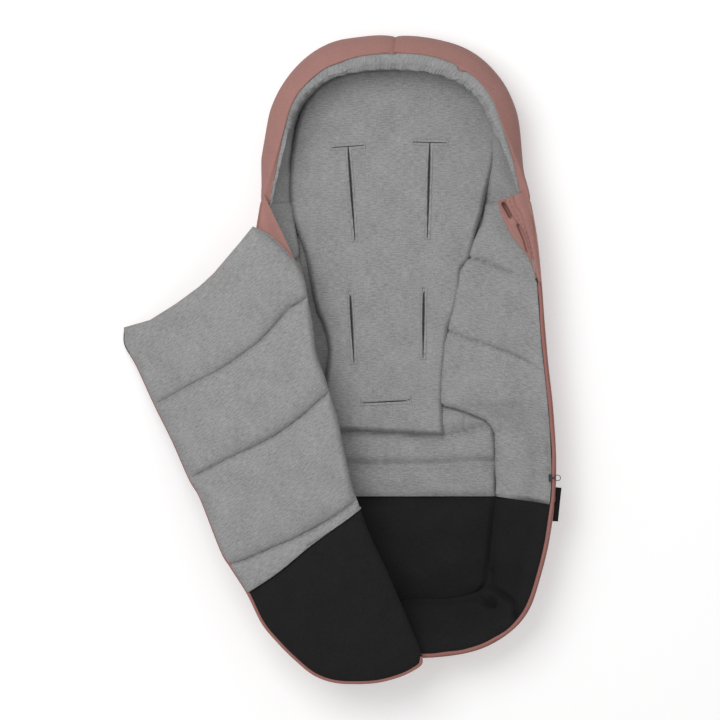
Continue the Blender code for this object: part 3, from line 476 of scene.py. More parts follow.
# Sections, in shares of the depth in from the rim and of the height: outside and inside of the wall
outer_side = ((1.0, 0.0), (0.72, 0.03), (0.48, 0.13), (0.27, 0.34), (0.11, 0.64), (0.0, 1.0))
outer_hood = ((1.0, 0.0), (0.55, 0.02), (0.15, 0.17), (0.0, 0.46), (0.12, 0.80), (0.42, 1.0))
inner_side = ((1.0, 0.0), (0.86, 0.22), (0.66, 0.40), (0.46, 0.60), (0.27, 0.82), (0.13, 0.91), (0.0, 1.0))
inner_hood = ((1.0, 0.0), (0.80, 0.17), (0.54, 0.32), (0.42, 0.52), (0.52, 0.74), (0.80, 0.86), (0.68, 0.965))
# Stations of the two seams on each side, from the toe at 0 to the crown, and about how far apart they lie
TOE_SEAM, HOOD_SEAM, LAST = 6.70, 11.0, 17.0
STATION = 79 * MM
# The rim rises to the hood between these shares of the half length
RISE_FROM, RISE_TO = 0.46, 0.77
# How high the floor's cloth lies where the photo shows it
FLOOR_SEEN = 20 * MM

# By station, in mm: how far the hood swells out beyond the CAD's outline, and how much wider the
# rose band is. Then bumps in the band, each with its station, its reach and its size.
bulge_rows = np.array([(-17, 0), (-16, 3), (-15, 7), (-14, 10), (-13, 13), (-12, 14), (-11.2, 8),
                       (-10.6, 2), (-10.3, 0), (10.5, 0), (11.2, 2), (12, 5), (13, 6), (14, 4), (15, 2),
                       (16, 0), (17, 0)])
band_rows = np.array([(10.55, 0), (10.7, 1.5), (10.85, 8), (11, 12.5), (11.5, 9.5), (12, 4.5), (12.6, 1),
                      (13, 0)])
band_bumps = [(-11.8, 0.8, 3.5), (15.05, 0.16, 7.0), (-15.6, 0.35, 4.0), (-14.6, 0.6, 3.0), (16.3, 0.5, -2.0)]


class Wall:
    """Vertical planes across the wall at places along it; below 0 is the left half."""

    def __init__(self, places):
        places = np.asarray(places, float)
        side = np.where(places < 0, -1, 1)
        flip = (-1, 1, -1, 1)
        table = np.concatenate([wall_shares[1:2] * flip, wall_shares, wall_shares[-2:-1] * flip])
        rows = spline(table, 1 + np.abs(places))
        size = np.stack([side * HALF_WIDTH, np.full(len(places), HALF_LENGTH)], -1)
        self.rim = rows[:, :2] * size
        self.crease = rows[:, 2:] * size + (SEAT_SHIFT, 0)
        self.depth = np.linalg.norm(self.crease - self.rim, axis=1)
        self.inward = (self.crease - self.rim) / self.depth[:, None]
        self.hood = ease((rows[:, 1] - RISE_FROM) / (RISE_TO - RISE_FROM))
        self.bulge = np.interp(places, bulge_rows[:, 0], bulge_rows[:, 1]) * MM
        bumps = sum(high * MM * fade(places - where, wide) for where, wide, high in band_bumps)
        self.band = bumps * self.hood + np.interp(np.abs(places), band_rows[:, 0], band_rows[:, 1]) * MM
        self.height = mix(RIM_HEIGHT, HOOD_HEIGHT, self.hood)

    def place(self, depth, height):
        """Points at depths inwards from the rim and at heights, one row for each plane."""
        depth, height = np.broadcast_arrays(depth, height)
        return raised(self.rim[:, None] + self.inward[:, None] * depth[..., None], height)

    def section(self, side, hood, foot, steps, lip=0.0):
        """A smooth section between two share tables, one row of depth and height per plane."""
        table = mix(np.array(side)[None], np.array(hood)[None], self.hood[:, None, None])
        path = np.empty_like(table)
        path[..., 0] = table[..., 0] * self.depth[:, None]
        path[..., 1] = foot + table[..., 1] * (self.height - foot)[:, None]
        path[:, -1, 0] += lip * (1 - self.hood)
        if side is outer_side:
            path[:, 1:-1, 0] -= self.bulge[:, None] * np.array((0.3, 0.8, 1.0, 0.9))
            over_rim = np.stack([path[:, -1, 0] + self.band + 0.6 * MM, path[:, -1, 1]], -1)
            path = np.concatenate([path, over_rim[:, None]], 1)
        else:
            path[:, -1, 0] += self.band
        return smooth_rows(path, steps)


def held(along, first, last):
    """1 over the middle of a section and down to 0 at its two edges, where it is sewn."""
    return ramp(np.minimum(along * first, (1 - along) * last))


def between(start, end, step=0.05):
    return np.linspace(start, end, max(int(abs(end - start) / step), 2) + 1)


def from_ends(places):
    """How far each station is from the nearer end of a panel."""
    return np.minimum(abs(places - places[0]), abs(places - places[-1])) * STATION


# %% [markdown]
# ## The shell
#
# The rose shell is one layer of woven cloth over wadding. On the real object each panel is cut flat
# and sewn, so it swells between its seams and puckers along them. A subdivided box could be
# pushed by hand, but a swept grid keeps the panel's edges exactly on the seams, and the swelling
# follows from the distance to the seam.

# %% Rose shell panels
def shell_panel(name, start, end, node, seed):
    """One panel of the wall's outside, between two seams."""
    places = between(start, end)
    wall = Wall(places)
    path = wall.section(outer_side, outer_hood, 0.0, 34)
    from_end = from_ends(places)[:, None]
    along = np.linspace(0, 1, 34)
    grid = wall.place(path[..., 0], path[..., 1])
    swell = puff(from_end, 12 * MM, 2.2 * MM) * np.sin(pi * along) ** 0.7
    pucker = np.exp(-from_end / (9 * MM)) * np.sin(along * 75 + seed) * 0.5 * MM
    slow = wobble(grid, 70 * MM, seed) * 0.8 * MM * np.sin(pi * along)
    shift = swell + pucker + slow - 1.0 * MM * np.exp(-from_end / (2.5 * MM))
    normal = normals_of(grid)
    faces_in = (normal[..., :2] * wall.inward[:, None]).sum(-1).mean() > 0
    grid = pushed(grid, -normal if faces_in else normal, shift * held(along, 12, 12))
    grid[..., 2] = np.maximum(grid[..., 2], 0.2 * MM)
    piece = cloth(name, grid, FABRIC, rose_shell, away=(0, 0, 40 * MM))
    dress(piece, "body", "rose_fabric", node, fill=0.5)


# Panels stop a hair short of their seam's centre, so that the seam shows as a line
HAIR = 0.003
shell_panel("shell_toe", TOE_SEAM - HAIR, -TOE_SEAM + HAIR, "toe_shell", 1)
shell_panel("shell_side_right", HOOD_SEAM - HAIR, TOE_SEAM + HAIR, "side_shell_right", 2)
shell_panel("shell_side_left", -TOE_SEAM - HAIR, -HOOD_SEAM + HAIR, "side_shell_left", 3)
shell_panel("shell_hood_right", HOOD_SEAM + HAIR, LAST, "hood_shell_right", 4)
shell_panel("shell_hood_left", -HOOD_SEAM - HAIR, -LAST, "hood_shell_left", 5)

# %% [markdown]
# ## The linings of the wall
#
# The grey jersey lining is sewn through to the shell along a few slanting lines. Each panel swells
# between those lines, since the wadding is caught there. The seams are read from the photo, and a
# groove is pressed in from the distance to them. The grid has a point every 2 mm, fine enough to
# hold a 3 mm groove.

# %% Side linings
def inner_wall(wall, steps):
    """The inside of the wall, from the floor up to the lip, and over it to the zip."""
    path = wall.section(inner_side, inner_hood, BACK_THICK, steps, LIP_DEPTH)
    seam = mix(0.0, 0.42, wall.hood) * wall.depth + 2.5 * MM + wall.band
    top = wall.height - wall.hood * 0.2 * MM
    under = ramp(wall.hood + wall.band / (6 * MM))
    last = np.stack([np.stack([seam + 0.4 * MM, top - 0.3 * MM * under], -1),
                     np.stack([seam - 2.5 * MM * under, top - 2.0 * MM * under], -1)], 1)
    path = np.concatenate([path, last], 1)
    return wall.place(path[..., 0], path[..., 1])


def facing(grid, point):
    """Normals that face a point."""
    normal = normals_of(grid)
    return normal * (1 if (normal * (np.array(point) - grid)).sum() > 0 else -1)


# The seam to the black foot on the right wall, at the floor and at the rim
slant_foot, slant_rim = at(((499, 496), (552, 500)))


def slanted(grid):
    """The seam to the black foot slopes down to the right where it climbs the right wall."""
    share = ramp((grid[..., 0] - slant_foot[0]) / (slant_rim[0] - slant_foot[0]))
    grid[..., 1] -= 8 * MM * share * fade(grid[..., 1] - slant_foot[1], 45 * MM)
    return grid


right_seams = [
    traced([(462, 254), (472, 257), (489, 261), (500, 267), (511, 272)], 60),
    traced([(440, 327), (449, 331), (473, 340), (496, 348), (523, 359.5), (543, 372)], 80),
]
left_seams = [
    traced([(330, 250), (312, 253), (285, 262)], 40),
    traced([(336, 325), (322, 327), (280, 340)], 40),
    traced([(340, 402), (310, 410), (280, 430)], 40),
]
# The seam where the right lining meets the floor's roll below the pad
foot_seam = [(430, 398), (443.4, 402.9), (456.8, 406), (472.9, 412.3), (485.4, 417.7), (491.6, 424),
             (498, 436.4), (502, 450.7), (504.5, 462.5), (500.5, 476), (499, 497)]
# Where each side lining ends on the floor: under the pad, and then along the seam
right_foot = [(486, 190), (480, 213), (474.5, 233), (468, 258), (459.5, 271), (458.5, 286), (453, 313),
              (446.5, 330), (443.5, 355), (441, 383), (441, 401)] + foot_seam[1:]
left_foot = [(288, 190), (291.5, 209.5), (297, 239), (300, 258), (305, 300), (311, 330), (315, 360),
             (318, 400), (320, 425), (300, 460), (296, 500)]
# From the seam at the pad, where the cloth dives, up the wall to the lip
side_profile = ((1.0, 0.01), (0.985, 0.17), (0.94, 0.24), (0.80, 0.29), (0.63, 0.37), (0.45, 0.50),
                (0.27, 0.72), (0.12, 0.91), (0.0, 1.0))
side_profile_at_hood = ((1.0, 0.0), (0.95, 0.08), (0.88, 0.18), (0.78, 0.28), (0.66, 0.40), (0.46, 0.60),
                        (0.27, 0.82), (0.13, 0.91), (0.0, 1.0))


def side_lining(name, side, seams, foot, seed, *nodes):
    """The jersey from the rim down the wall and, in one soft curve, on to where it ends on the floor."""
    places = between(side * HOOD_SEAM, side * TOE_SEAM, 0.026)
    wall = Wall(places)
    foot = at(foot, FLOOR_SEEN)
    end = wall.depth
    for _ in range(4):  # each plane across the wall is followed to the foot line, closer each time
        here = wall.rim + wall.inward * end[:, None]
        edge_x = np.interp(-here[:, 1], -foot[:, 1], foot[:, 0])
        end = (edge_x - wall.rim[:, 0]) / wall.inward[:, 0]
    below_hood = ease((HOOD_SEAM - np.abs(places)) / 0.9)[:, None]
    end = mix(wall.depth, np.maximum(end, wall.depth), below_hood[:, 0])
    at_hood, below = np.array(side_profile_at_hood), np.array(side_profile)
    share, high = (mix(at_hood[None, :, k], below[None, :, k], below_hood) for k in (0, 1))
    depth = share * end[:, None]
    depth[:, -1] += LIP_DEPTH + wall.band
    rise = BACK_THICK + high * (wall.height - BACK_THICK)[:, None]
    depth = np.concatenate([depth, (2.5 * MM + wall.band)[:, None]], 1)
    rise = np.concatenate([rise, wall.height[:, None]], 1)
    if side > 0:  # a dip along the lip, so that the slider runs clear of it
        rise[:, -3:] -= 4.4 * MM * fade(wall.rim[:, 1] + 165 * MM, 50 * MM)[:, None]
    path = smooth_rows(np.stack([depth, rise], -1), 76)
    grid = wall.place(path[..., 0], np.maximum(path[..., 1], BACK_THICK + 0.4 * MM))
    along = np.linspace(0, 1, grid.shape[1])
    normal = facing(grid, (SEAT_SHIFT, 0, 200 * MM))
    hold = held(along, 7, 9) * ramp(from_ends(places) / (6 * MM))[:, None]
    gap = distance(grid, *seams)
    sewn = puff(gap, 15 * MM, 5.5 * MM) + groove(gap, 2.0 * MM, 4.5 * MM)
    sewn = (sewn + puckers(grid, seams, 13 * MM, 9 * MM) * 0.7 * MM) * ease((1.02 - along) * 2.6)
    slow = wobble(grid, 50 * MM, seed) * 1.5 * MM + wobble(grid, 17 * MM, seed + 5) * 0.3 * MM
    lip = 1.5 * MM * fade(along - 0.86, 0.06) * (1 + 0.5 * wobble(grid, 60 * MM, seed + 3))
    grid = pushed(grid, normal, (sewn + slow + lip) * hold)
    grid[..., 2] = np.maximum(grid[..., 2], BACK_THICK + 0.4 * MM)
    piece = cloth(name, slanted(grid), FABRIC, grey_jersey, grain=-14 * side,
                  towards=(SEAT_SHIFT, 0, 300 * MM))
    dress(piece, "body", "grey_jersey", *nodes, fill=0.45)


side_lining("lining_side_right", 1, right_seams, right_foot, 11, "side_lining_right", "side_wadding_right")
side_lining("lining_side_left", -1, left_seams, left_foot, 12, "side_lining_left", "side_wadding_left")

# %% [markdown]
# The black foot end is the same wall, but its lining is a plain brushed cloth. It shows as a smooth
# dark bowl with one soft dimple at the right, where the crease along the floor meets the wall.

# %% Toe lining
toe_creases = [
    traced([(401, 601), (447, 599.4), (477.8, 597), (487, 602.5), (493, 604)], 60, FLOOR_SEEN),
    traced([(490.8, 572), (490, 584), (494.6, 590), (508.4, 598), (513, 602.5), (516, 615)], 60, 30 * MM),
]
places = between(TOE_SEAM - 0.001, -TOE_SEAM + 0.001, 0.035)
grid = inner_wall(Wall(places), 48)
along = np.linspace(0, 1, grid.shape[1])
normal = facing(grid, (SEAT_SHIFT, -300 * MM, 200 * MM))
gap = distance(grid, *toe_creases)
hold = held(along, 12, 9) * ramp((TOE_SEAM - abs(places)) * STATION / (6 * MM))[:, None]
dimple = at((489, 599.5), FLOOR_SEEN)
shift = groove(gap, 4 * MM, 7.0 * MM) + puff(gap, 20 * MM, 7.0 * MM) + wobble(grid, 70 * MM, 21) * 1.8 * MM
shift = shift - 12 * MM * fade(from_place(grid, dimple), 8 * MM)
grid = pushed(grid, normal, shift * hold)
dress(cloth("lining_toe", slanted(grid), FABRIC, black_lining, towards=(SEAT_SHIFT, -300 * MM, 300 * MM)),
      "body", "black_fabric", "toe_lining", "toe_wadding", fill=0.45)

# %% [markdown]
# The collar of the hood is jersey gathered on an elastic. Its lip rolls over the opening, with many
# small ribs where the cloth is bunched and one larger fold at the upper right. Ribs are ripples
# that grow towards the lip and die out down the wall.

# %% Collar lining
places = between(HOOD_SEAM, 2 * LAST - HOOD_SEAM, 0.016)
grid = inner_wall(Wall(np.where(places > LAST, places - 2 * LAST, places)), 60)
along = np.linspace(0, 1, grid.shape[1])
normal = facing(grid, (SEAT_SHIFT, 250 * MM, 90 * MM))
arc = (places - LAST) * STATION
ribs = np.sin(arc / (1.35 * MM) + 2.2 * np.sin(arc / (21 * MM)))
ribs = ribs * (0.55 + 0.45 * np.sin(arc / (17 * MM) + 1.0))
folds = np.sin(arc / (5.6 * MM) + 1.7 * np.sin(arc / (34 * MM)))
near_lip = fade(along - 0.88, 0.16)
# The ribs are a little lower beside the hood's seams
gathered = ramp(5 / 6 + 0.6 * (LAST - HOOD_SEAM - abs(places - LAST)))[:, None]
bunch = (ribs[:, None] * 0.55 * MM + folds[:, None] * 1.0 * MM) * near_lip * gathered
bunch = bunch + wobble(grid, 30 * MM, 31) * 1.2 * MM * (1 - near_lip)
# Pleats: a place in the photo, then the reach and the depth in mm
pleats = (((474, 73), 7, 8.0), ((467, 77), 6, -3.0), ((356, 62), 5, 4.5), ((348, 69), 4, 3.5),
          ((338, 74), 5, 2.5), ((362, 59), 4, -2.0))
for centre, wide, deep in pleats:
    bunch = bunch - deep * MM * fade(from_place(grid, at(centre)), wide * MM)
grid = pushed(grid, normal, bunch * held(along, 12, 14) * ramp(from_ends(places) / (6 * MM))[:, None])
dress(cloth("lining_collar", grid, FABRIC, grey_jersey, towards=(SEAT_SHIFT, 250 * MM, 90 * MM)),
      "body", "grey_jersey", "collar_lining", "hood_wadding", "collar_elastic", fill=0.4)

# %% [markdown]
# ## The floor
#
# Under the pad the lining lies flat on the back wadding. Below the pad it shows: a soft roll, then a
# valley, then the seam to the black foot. The floor's edge follows the foot of the wall all round.
# The slots for the harness go right through, so they are cut out of every layer.

# %% Floors
def floor_grid(low, high, columns, steps):
    """Rows across the floor, from the left crease to the right one, between two places."""
    places = np.linspace(low, high, steps)
    right, left = Wall(places), Wall(-np.maximum(places, 1e-6))
    share = np.linspace(0, 1, columns)[None, :, None]
    return raised(mix(left.crease[:, None], right.crease[:, None], share), BACK_THICK)


PAD_TOP = 35 * MM
SLIT_HALF = 2.2 * MM
slot_lines = {
    "upper_left": ((355, 240.5), (348, 145), 24 * MM), "upper_right": ((427.4, 237.7), (430, 141), 25 * MM),
    "lower_left": ((354, 363), (350, 291), 0.0), "lower_right": ((423, 358), (424, 288), 0.0),
    "crotch": ((362, 403), (409.6, 400.6), 0.0),
}


def slot_axes(name):
    """A slot's foot and length, the directions across and along it, and half the length of its bar."""
    foot, head, bar = slot_lines[name]
    foot, head = at(foot, PAD_TOP), at(head, PAD_TOP)
    length = np.linalg.norm(head - foot)
    along = (head - foot) / length
    return foot, length, np.array(((along[1], -along[0]), along)), bar


def slot_outline(name, grow, closed, slack, steps=14):
    """The outline of a harness slot, grown outwards.

    closed is how far its sides are drawn together, and slack how much less in the upper half.
    """
    foot, length, axes, bar = slot_axes(name)
    half = SLIT_HALF + grow
    low, high = -grow, length + grow
    corners = [(-half, low), (half, low), (half, high), (-half, high)]
    if bar:
        wide, under = bar + grow, high - 2 * half
        corners = [(-half, low), (half, low), (half, under), (wide, under), (wide, high), (-wide, high),
                   (-wide, under), (-half, under)]
    ring = np.array([mix(np.array(a), np.array(b), k / steps)
                     for a, b in zip(corners, corners[1:] + corners[:1]) for k in range(steps)])
    share = ramp(ring[:, 1] / length)
    drawn = closed * (1 - slack * np.sin(pi * share ** 1.5) ** 0.8) / SLIT_HALF
    slit = (np.abs(ring[:, 0]) <= half + 1e-6) & (ring[:, 1] < high - 1e-6)
    ring[:, 0] *= np.where(slit, 1 - drawn, 1)
    if bar:
        middle = high - half
        shut = np.where(ring[:, 1] > under - 1e-6, 1 - closed / SLIT_HALF, 1)
        ring[:, 1] = middle + (ring[:, 1] - middle) * shut
    return foot + ring @ axes


def cut_slots(piece, grow):
    """Opens the harness slots in a piece: the faces inside each outline go, and the welts hide the cut."""
    mesh = bmesh.new()
    mesh.from_mesh(piece.data)
    faces = list(mesh.faces)
    centres = np.array([face.calc_center_median()[:2] for face in faces])
    cut = np.zeros(len(faces), bool)
    half = SLIT_HALF + grow
    for foot, length, axes, bar in map(slot_axes, slot_lines):
        u, v = axes @ (centres - foot).T
        cut |= (np.abs(u) < half) & (v > -grow) & (v < length + grow)
        cut |= (np.abs(u) < bar + grow) & (np.abs(v - length - grow + half) < half)
    bmesh.ops.delete(mesh, geom=[face for face, gone in zip(faces, cut) if gone], context="FACES")
    mesh.to_mesh(piece.data)
    mesh.free()
    return piece


# %% Back and floor linings
grid = floor_grid(0.0, LAST, 61, 284)
grid[..., 2] = 0.2 * MM + np.abs(wobble(grid, 60 * MM, 41)) * 0.4 * MM
back = cloth("back_cloth", grid, FABRIC, rose_shell, grain=0, towards=(0, 0, -900 * MM))
dress(cut_slots(back, 1.5 * MM), "body", "rose_fabric", "back_panel", "back_wadding", fill=0.3)


def from_walls(grid):
    """How far each place on a floor is from the nearer wall."""
    return np.minimum(grid[..., 0] - grid[:, :1, 0], grid[:, -1:, 0] - grid[..., 0])


valley = traced([(330, 464), (372, 466), (420, 465.5), (470, 463), (505, 462)], 80, FLOOR_SEEN)
pad_fold = traced([(330, 431), (392, 434), (444, 436.5), (456, 434), (468, 431), (489, 425), (495, 423)], 80,
                  FLOOR_SEEN)
small_fold = traced([(466, 417), (465, 424), (466, 431)], 12, FLOOR_SEEN)
wall_seam = traced(foot_seam, 80, FLOOR_SEEN)
black_seam = traced([(330, 501.5), (361, 500), (410, 499), (460, 498.4), (505, 498)], 80, 12 * MM)
black_creases = [
    traced([(498, 499), (496, 540), (491, 572), (490, 600)], 60, FLOOR_SEEN),
    traced([(360, 604), (401, 601), (447, 599.4), (477.8, 597), (493, 604)], 60, FLOOR_SEEN),
]
pad_foot = at((0, 398), FLOOR_SEEN)[1]
grid = floor_grid(TOE_SEAM + 0.002, LAST - 0.002, 150, 330)
full = puff(distance(grid, black_seam, pad_fold, wall_seam), 8 * MM, 12.0 * MM)
full = full + groove(distance(grid, valley), 8 * MM, 9.0 * MM)
full = full + groove(distance(grid, small_fold), 3 * MM, 2.5 * MM)
full = full + puckers(grid, [black_seam, wall_seam], 16 * MM, 9 * MM) * 0.5 * MM
below_pad = ease((pad_foot - grid[..., 1]) / (10 * MM))
lift = (full + wobble(grid, 26 * MM, 42) * 0.8 * MM) * below_pad * ramp(from_walls(grid) / (5 * MM)) ** 0.5
grid[..., 2] += np.maximum(lift, -1.0 * MM)
floor = cloth("lining_floor", grid, FABRIC, grey_jersey, grain=0)
dress(cut_slots(floor, 1.5 * MM), "body", "grey_jersey", "floor_lining", fill=0.5)

grid = floor_grid(0.0, TOE_SEAM - 0.002, 150, 130)
gap = distance(grid, black_seam, *black_creases)
sides = ramp(from_walls(grid) / (8 * MM)) * ramp(np.arange(130) / 10)[:, None]
grid[..., 2] += (puff(gap, 20 * MM, 11.0 * MM) + wobble(grid, 60 * MM, 43) * 1.5 * MM) * sides
dress(cloth("lining_toe_floor", grid, FABRIC, black_lining, grain=0), "body", "black_fabric",
      "toe_floor_lining", fill=0.4)

# %% [markdown]
# ## The seat pad
#
# A jersey cushion with a waist, which runs up under the hood's lip. It is a crowned closed form:
# round at its edges, flat on the floor. Foam gives it a quick rise from the edge and a nearly level
# top. Each harness slot is bound with a folded welt, so two soft lips lean over a dark slit.

# %% Seat pad
PAD_HEIGHT = 24 * MM
pad_left = [(322, 429.5), (322, 411), (323, 390), (326, 370), (328, 348), (323, 327), (315, 306), (309, 276),
            (305, 255), (297, 232), (291, 210), (289, 185), (290, 163), (293, 140), (299, 115), (309, 95),
            (325, 80), (345, 72), (370, 68), (392, 67)]
pad_right = [(444, 435.6), (444, 420), (443, 405), (443.5, 383), (446, 355), (449, 329), (455, 313),
             (461, 286), (462, 271), (471, 256), (477, 231), (482.5, 213), (487, 192), (494, 165),
             (497, 140), (496, 115), (488, 95), (475, 80), (455, 72), (430, 68), (402, 67)]
rows = 0.5 - 0.5 * np.cos(np.linspace(0.06, pi - 0.06, 300))
rows = (rows - rows[0]) / (rows[-1] - rows[0])
left_edge, right_edge = (traced(pixels, 400, FLOOR_SEEN) for pixels in (pad_left, pad_right))
steps = np.linspace(0, 1, 400)
ends = [np.stack([np.interp(rows, steps, part) for part in edge.T], -1) for edge in (left_edge, right_edge)]
plan = mix(ends[0][:, None], ends[1][:, None], finer_ends(150)[None, :, None])
pad_edge = np.concatenate([even(left_edge, 120), even(right_edge, 120)[::-1], left_edge[:1]])
pad_crease = traced([(461, 253), (463, 262), (461.5, 271)], 12, 25 * MM)


def pad_top(places):
    """The height of the pad's top at places in plan."""
    gap, along = nearest(places, pad_edge)
    rise = rounded(gap / (9 * MM))
    top = PAD_HEIGHT * (0.80 * rise + 0.20 * (1 - np.exp(-gap / (32 * MM))))
    ripple = np.sin(along * 2 * pi / (17 * MM) + 2.0 * np.sin(along * 2 * pi / (61 * MM)))
    top = top + ripple * np.exp(-gap / (9 * MM)) * ramp(gap / (3 * MM)) * 0.7 * MM
    top = top + wobble(places, 52 * MM, 51) * 1.0 * MM * rise + wobble(places, 19 * MM, 52) * 0.25 * MM * rise
    for *slot_line, _ in slot_lines.values():
        top = top - 1.5 * MM * np.exp(-distance(places, at(slot_line, PAD_TOP)) / (7 * MM)) * rise
    top = top - 2.0 * MM * np.exp(-distance(places, pad_crease) / (3 * MM))
    return BACK_THICK + 0.3 * MM + np.maximum(top, 0)


pad = cut_slots(cloth("seat_pad", raised(plan, pad_top(plan)), FABRIC, grey_jersey, grain=0), 0.8 * MM)
dress(pad, "body", "grey_jersey", "seat_pad_cover", "seat_pad_foam", fill=0.8)

# %% Slot welts
# Each row is how far out the welt is from the slit's side, how high, and how far its sides are drawn
# together. Heights are from the pad's top, or else from the back of the bag. The facings meet below
# the lips, as cloth does while no strap goes through.
welt_rows = ((0.0, 0.6, False, 0.0), (0.0, -20.0, True, 0.5), (0.0, -15.0, True, 2.15),
             (0.0, -12.0, True, 1.9), (-0.3, -1.2, True, 1.6), (0.0, 0.6, True, 1.6),
             (0.8, 1.2, True, 0.0), (1.8, 1.1, True, 0.0), (2.6, 0.5, True, 0.0),
             (2.7, -0.8, True, 0.0), (0.9, -2.0, True, 0.0), (0.9, 0.6, False, 0.0))
for name in slot_lines:
    loops = []
    for out, high, on_pad, closing in welt_rows:
        slack = 0.0 if closing > 1.8 else 0.3 if name == "crotch" else 0.9
        outline = slot_outline(name, out * MM, closing * MM, slack)
        height = pad_top(outline) if on_pad else 0.0
        loops.append(raised(outline, height + high * MM))
    loops = np.stack(loops, 1)
    count, deep = loops.shape[:2]
    index = np.arange(count * deep).reshape(count, deep)
    beside, below = np.roll(index, -1, axis=0), np.roll(index, -1, axis=1)
    corner = np.roll(beside, -1, axis=1)
    faces = np.stack([index, beside, corner, below], -1).reshape(-1, 4)
    flat = np.stack(np.meshgrid(np.arange(deep) * 1.5 * MM, np.arange(count) * 2 * MM), -1)
    welt = solid("slot_welt_" + name, loops.reshape(-1, 3), faces, flat.reshape(-1, 2), grey_jersey)
    dress(welt, "body", "grey_jersey", "slot_facing_" + name)

# %% [markdown]
# ## The rim
#
# A bias-cut strip is folded round a cord and sewn in with the zip: that makes the rose piping.
# The zip's tape lies flat inside it, and its coil is a wound nylon thread, 1.5 mm to a turn.

# %% Piping, zip tape and coil on the rim
TAPE_LIFT, TAPE_THICK, PIPING = 0.75 * MM, 0.8 * MM, 2.5 * MM
ZIP_END = 9.75


def on_tape(wall, depths, lift=0.0):
    """Points over the zip tape, at depths inwards from the rim."""
    return wall.place(np.atleast_1d(depths)[None], (wall.height + TAPE_LIFT + TAPE_THICK + lift)[:, None])


wall = Wall(np.linspace(ZIP_END, -(HOOD_SEAM - 0.02), 900))
path = on_tape(wall, 2.6 * MM, 0.3 * MM + PIPING)[:, 0]
path[:, :2] += wall.inward * (wobble(path, 40 * MM, 61) * 0.5 * MM)[:, None]
piping = tube("piping_rim", path, 2 * PIPING, 2 * PIPING, rose_piping, taper=0.004)
dress(piping, "body", "rose_piping", "rim_piping")

grid = on_tape(Wall(np.linspace(ZIP_END, 0.0, 500)), np.array((0.3, 2.0, 3.6, 4.8, 5.9)) * MM)
dress(cloth("tape_rim", grid, TAPE_THICK, black_tape), "body", "zip_tape", "zip_tape")

path = on_tape(Wall(np.linspace(ZIP_END, 0.0, 4200)), 5.1 * MM, 1.45 * MM)[:, 0]
# The turns of the thread: the cord swells and narrows every 1.5 mm
thick = 2.0 * MM * (0.82 + 0.18 * np.cos(length_to(path) * 2 * pi / (1.5 * MM)))
dress(tube("coil_rim", path, thick, thick, black_nylon, sides=8), "body", "zip_coil", "zip_coil")

# %% [markdown]
# The pocket that hides the slider when the zip is shut: a leaf of the rose cloth whose inner
# edge curls, and above it a narrow hem with a row of stitches. Both narrow into the rim below.

# %% Zip pocket
rim_line = traced([(526.5, 191), (529.5, 202), (534, 226), (538, 251), (541, 275), (541.5, 284)], 90)
hem_seam = traced([(513.5, 195.2), (516, 204), (521, 212.5), (524.7, 222), (527.5, 232), (532, 249),
                   (538.8, 282)], 90)
hem_line = traced([(505.6, 198.7), (509.4, 208.7), (516, 219.2), (522.8, 228.8), (526.7, 235), (530, 248),
                   (538.2, 282)], 90)
leaf_line = traced([(497.5, 200.5), (499, 207), (502.7, 218.3), (509.4, 231.7), (516, 241), (523.8, 250.8),
                    (529.5, 259.4), (535.3, 272.8), (537.8, 282)], 90)
# Where the leaf dips into the dark openings on both sides of its tongue, and how deep in mm
openings = ((13, at([(504, 204), (507.5, 210), (510.5, 216)])),
            (8, at([(519, 225.5), (521.5, 231), (524.5, 238), (528, 250)])))
tongue = at((514.5, 220.5))
high = RIM_HEIGHT + 1.2 * MM


def strip_through(name, lines, counts, heights, lower, node):
    """A rose strip through lines in plan, with heights in mm that fade out down its length."""
    flat = np.concatenate([mix(a[:, None], b[:, None], np.arange(count)[None, :, None] / count)
                           for a, b, count in zip(lines[:-1], lines[1:], counts)] + [lines[-1][:, None]], 1)
    across = np.linspace(0, 1, flat.shape[1])
    tall = np.interp(across, np.linspace(0, 1, len(heights)), heights)[None] * MM
    left_over = np.linspace(1, 0.06, len(flat))[:, None] ** 0.6
    tall = high + (tall + wobble(flat, 14 * MM, 71) * 0.35 * MM - lower(flat)) * left_over
    dress(cloth(name, raised(flat, tall), FABRIC, rose_shell, grain=70), "body", "rose_fabric", node)


def leaf_dip(flat):
    dips = sum(deep * MM * np.exp(-(distance(flat, line) / (2.7 * MM)) ** 4) for deep, line in openings)
    return dips - 2.6 * MM * fade(from_place(flat, tongue), 7 * MM)


def seam_dip(flat):
    return -groove(distance(flat, hem_seam), 1.3 * MM, 1.6 * MM)


strip_through("pocket_leaf", (rim_line, hem_line, leaf_line), (10, 24),
              (0.2, 0.4, 0.6, 0.8, 1.6, 2.2, 2.6, 2.8, 2.8, 2.9, 3.6, 4.6, 4.4, 2.2), leaf_dip,
              "zip_garage_leaf")
strip_through("pocket_hem", (rim_line, hem_seam, hem_line), (14, 12),
              (0.3, 2.8, 4.9, 6.2, 6.8, 6.9, 7.2, 7.5, 7.2, 6.0), seam_dip, "zip_garage_hem")
stitch_line = mix(hem_seam, hem_line, 0.66)
for number in range(3, 66, 5):
    path = raised(stitch_line[[number, number + 3]], high + 8.0 * MM * (1 - number / 95) ** 0.6)
    stitch = tube(f"stitch_{number:02d}", path, 0.8 * MM, 0.7 * MM, rose_thread, sides=6)
    dress(stitch, "body", "rose_piping")

# %% [markdown]
# The label tag is a short folded ribbon, sewn in under the piping. The real one carries a name; this
# one is left bare.

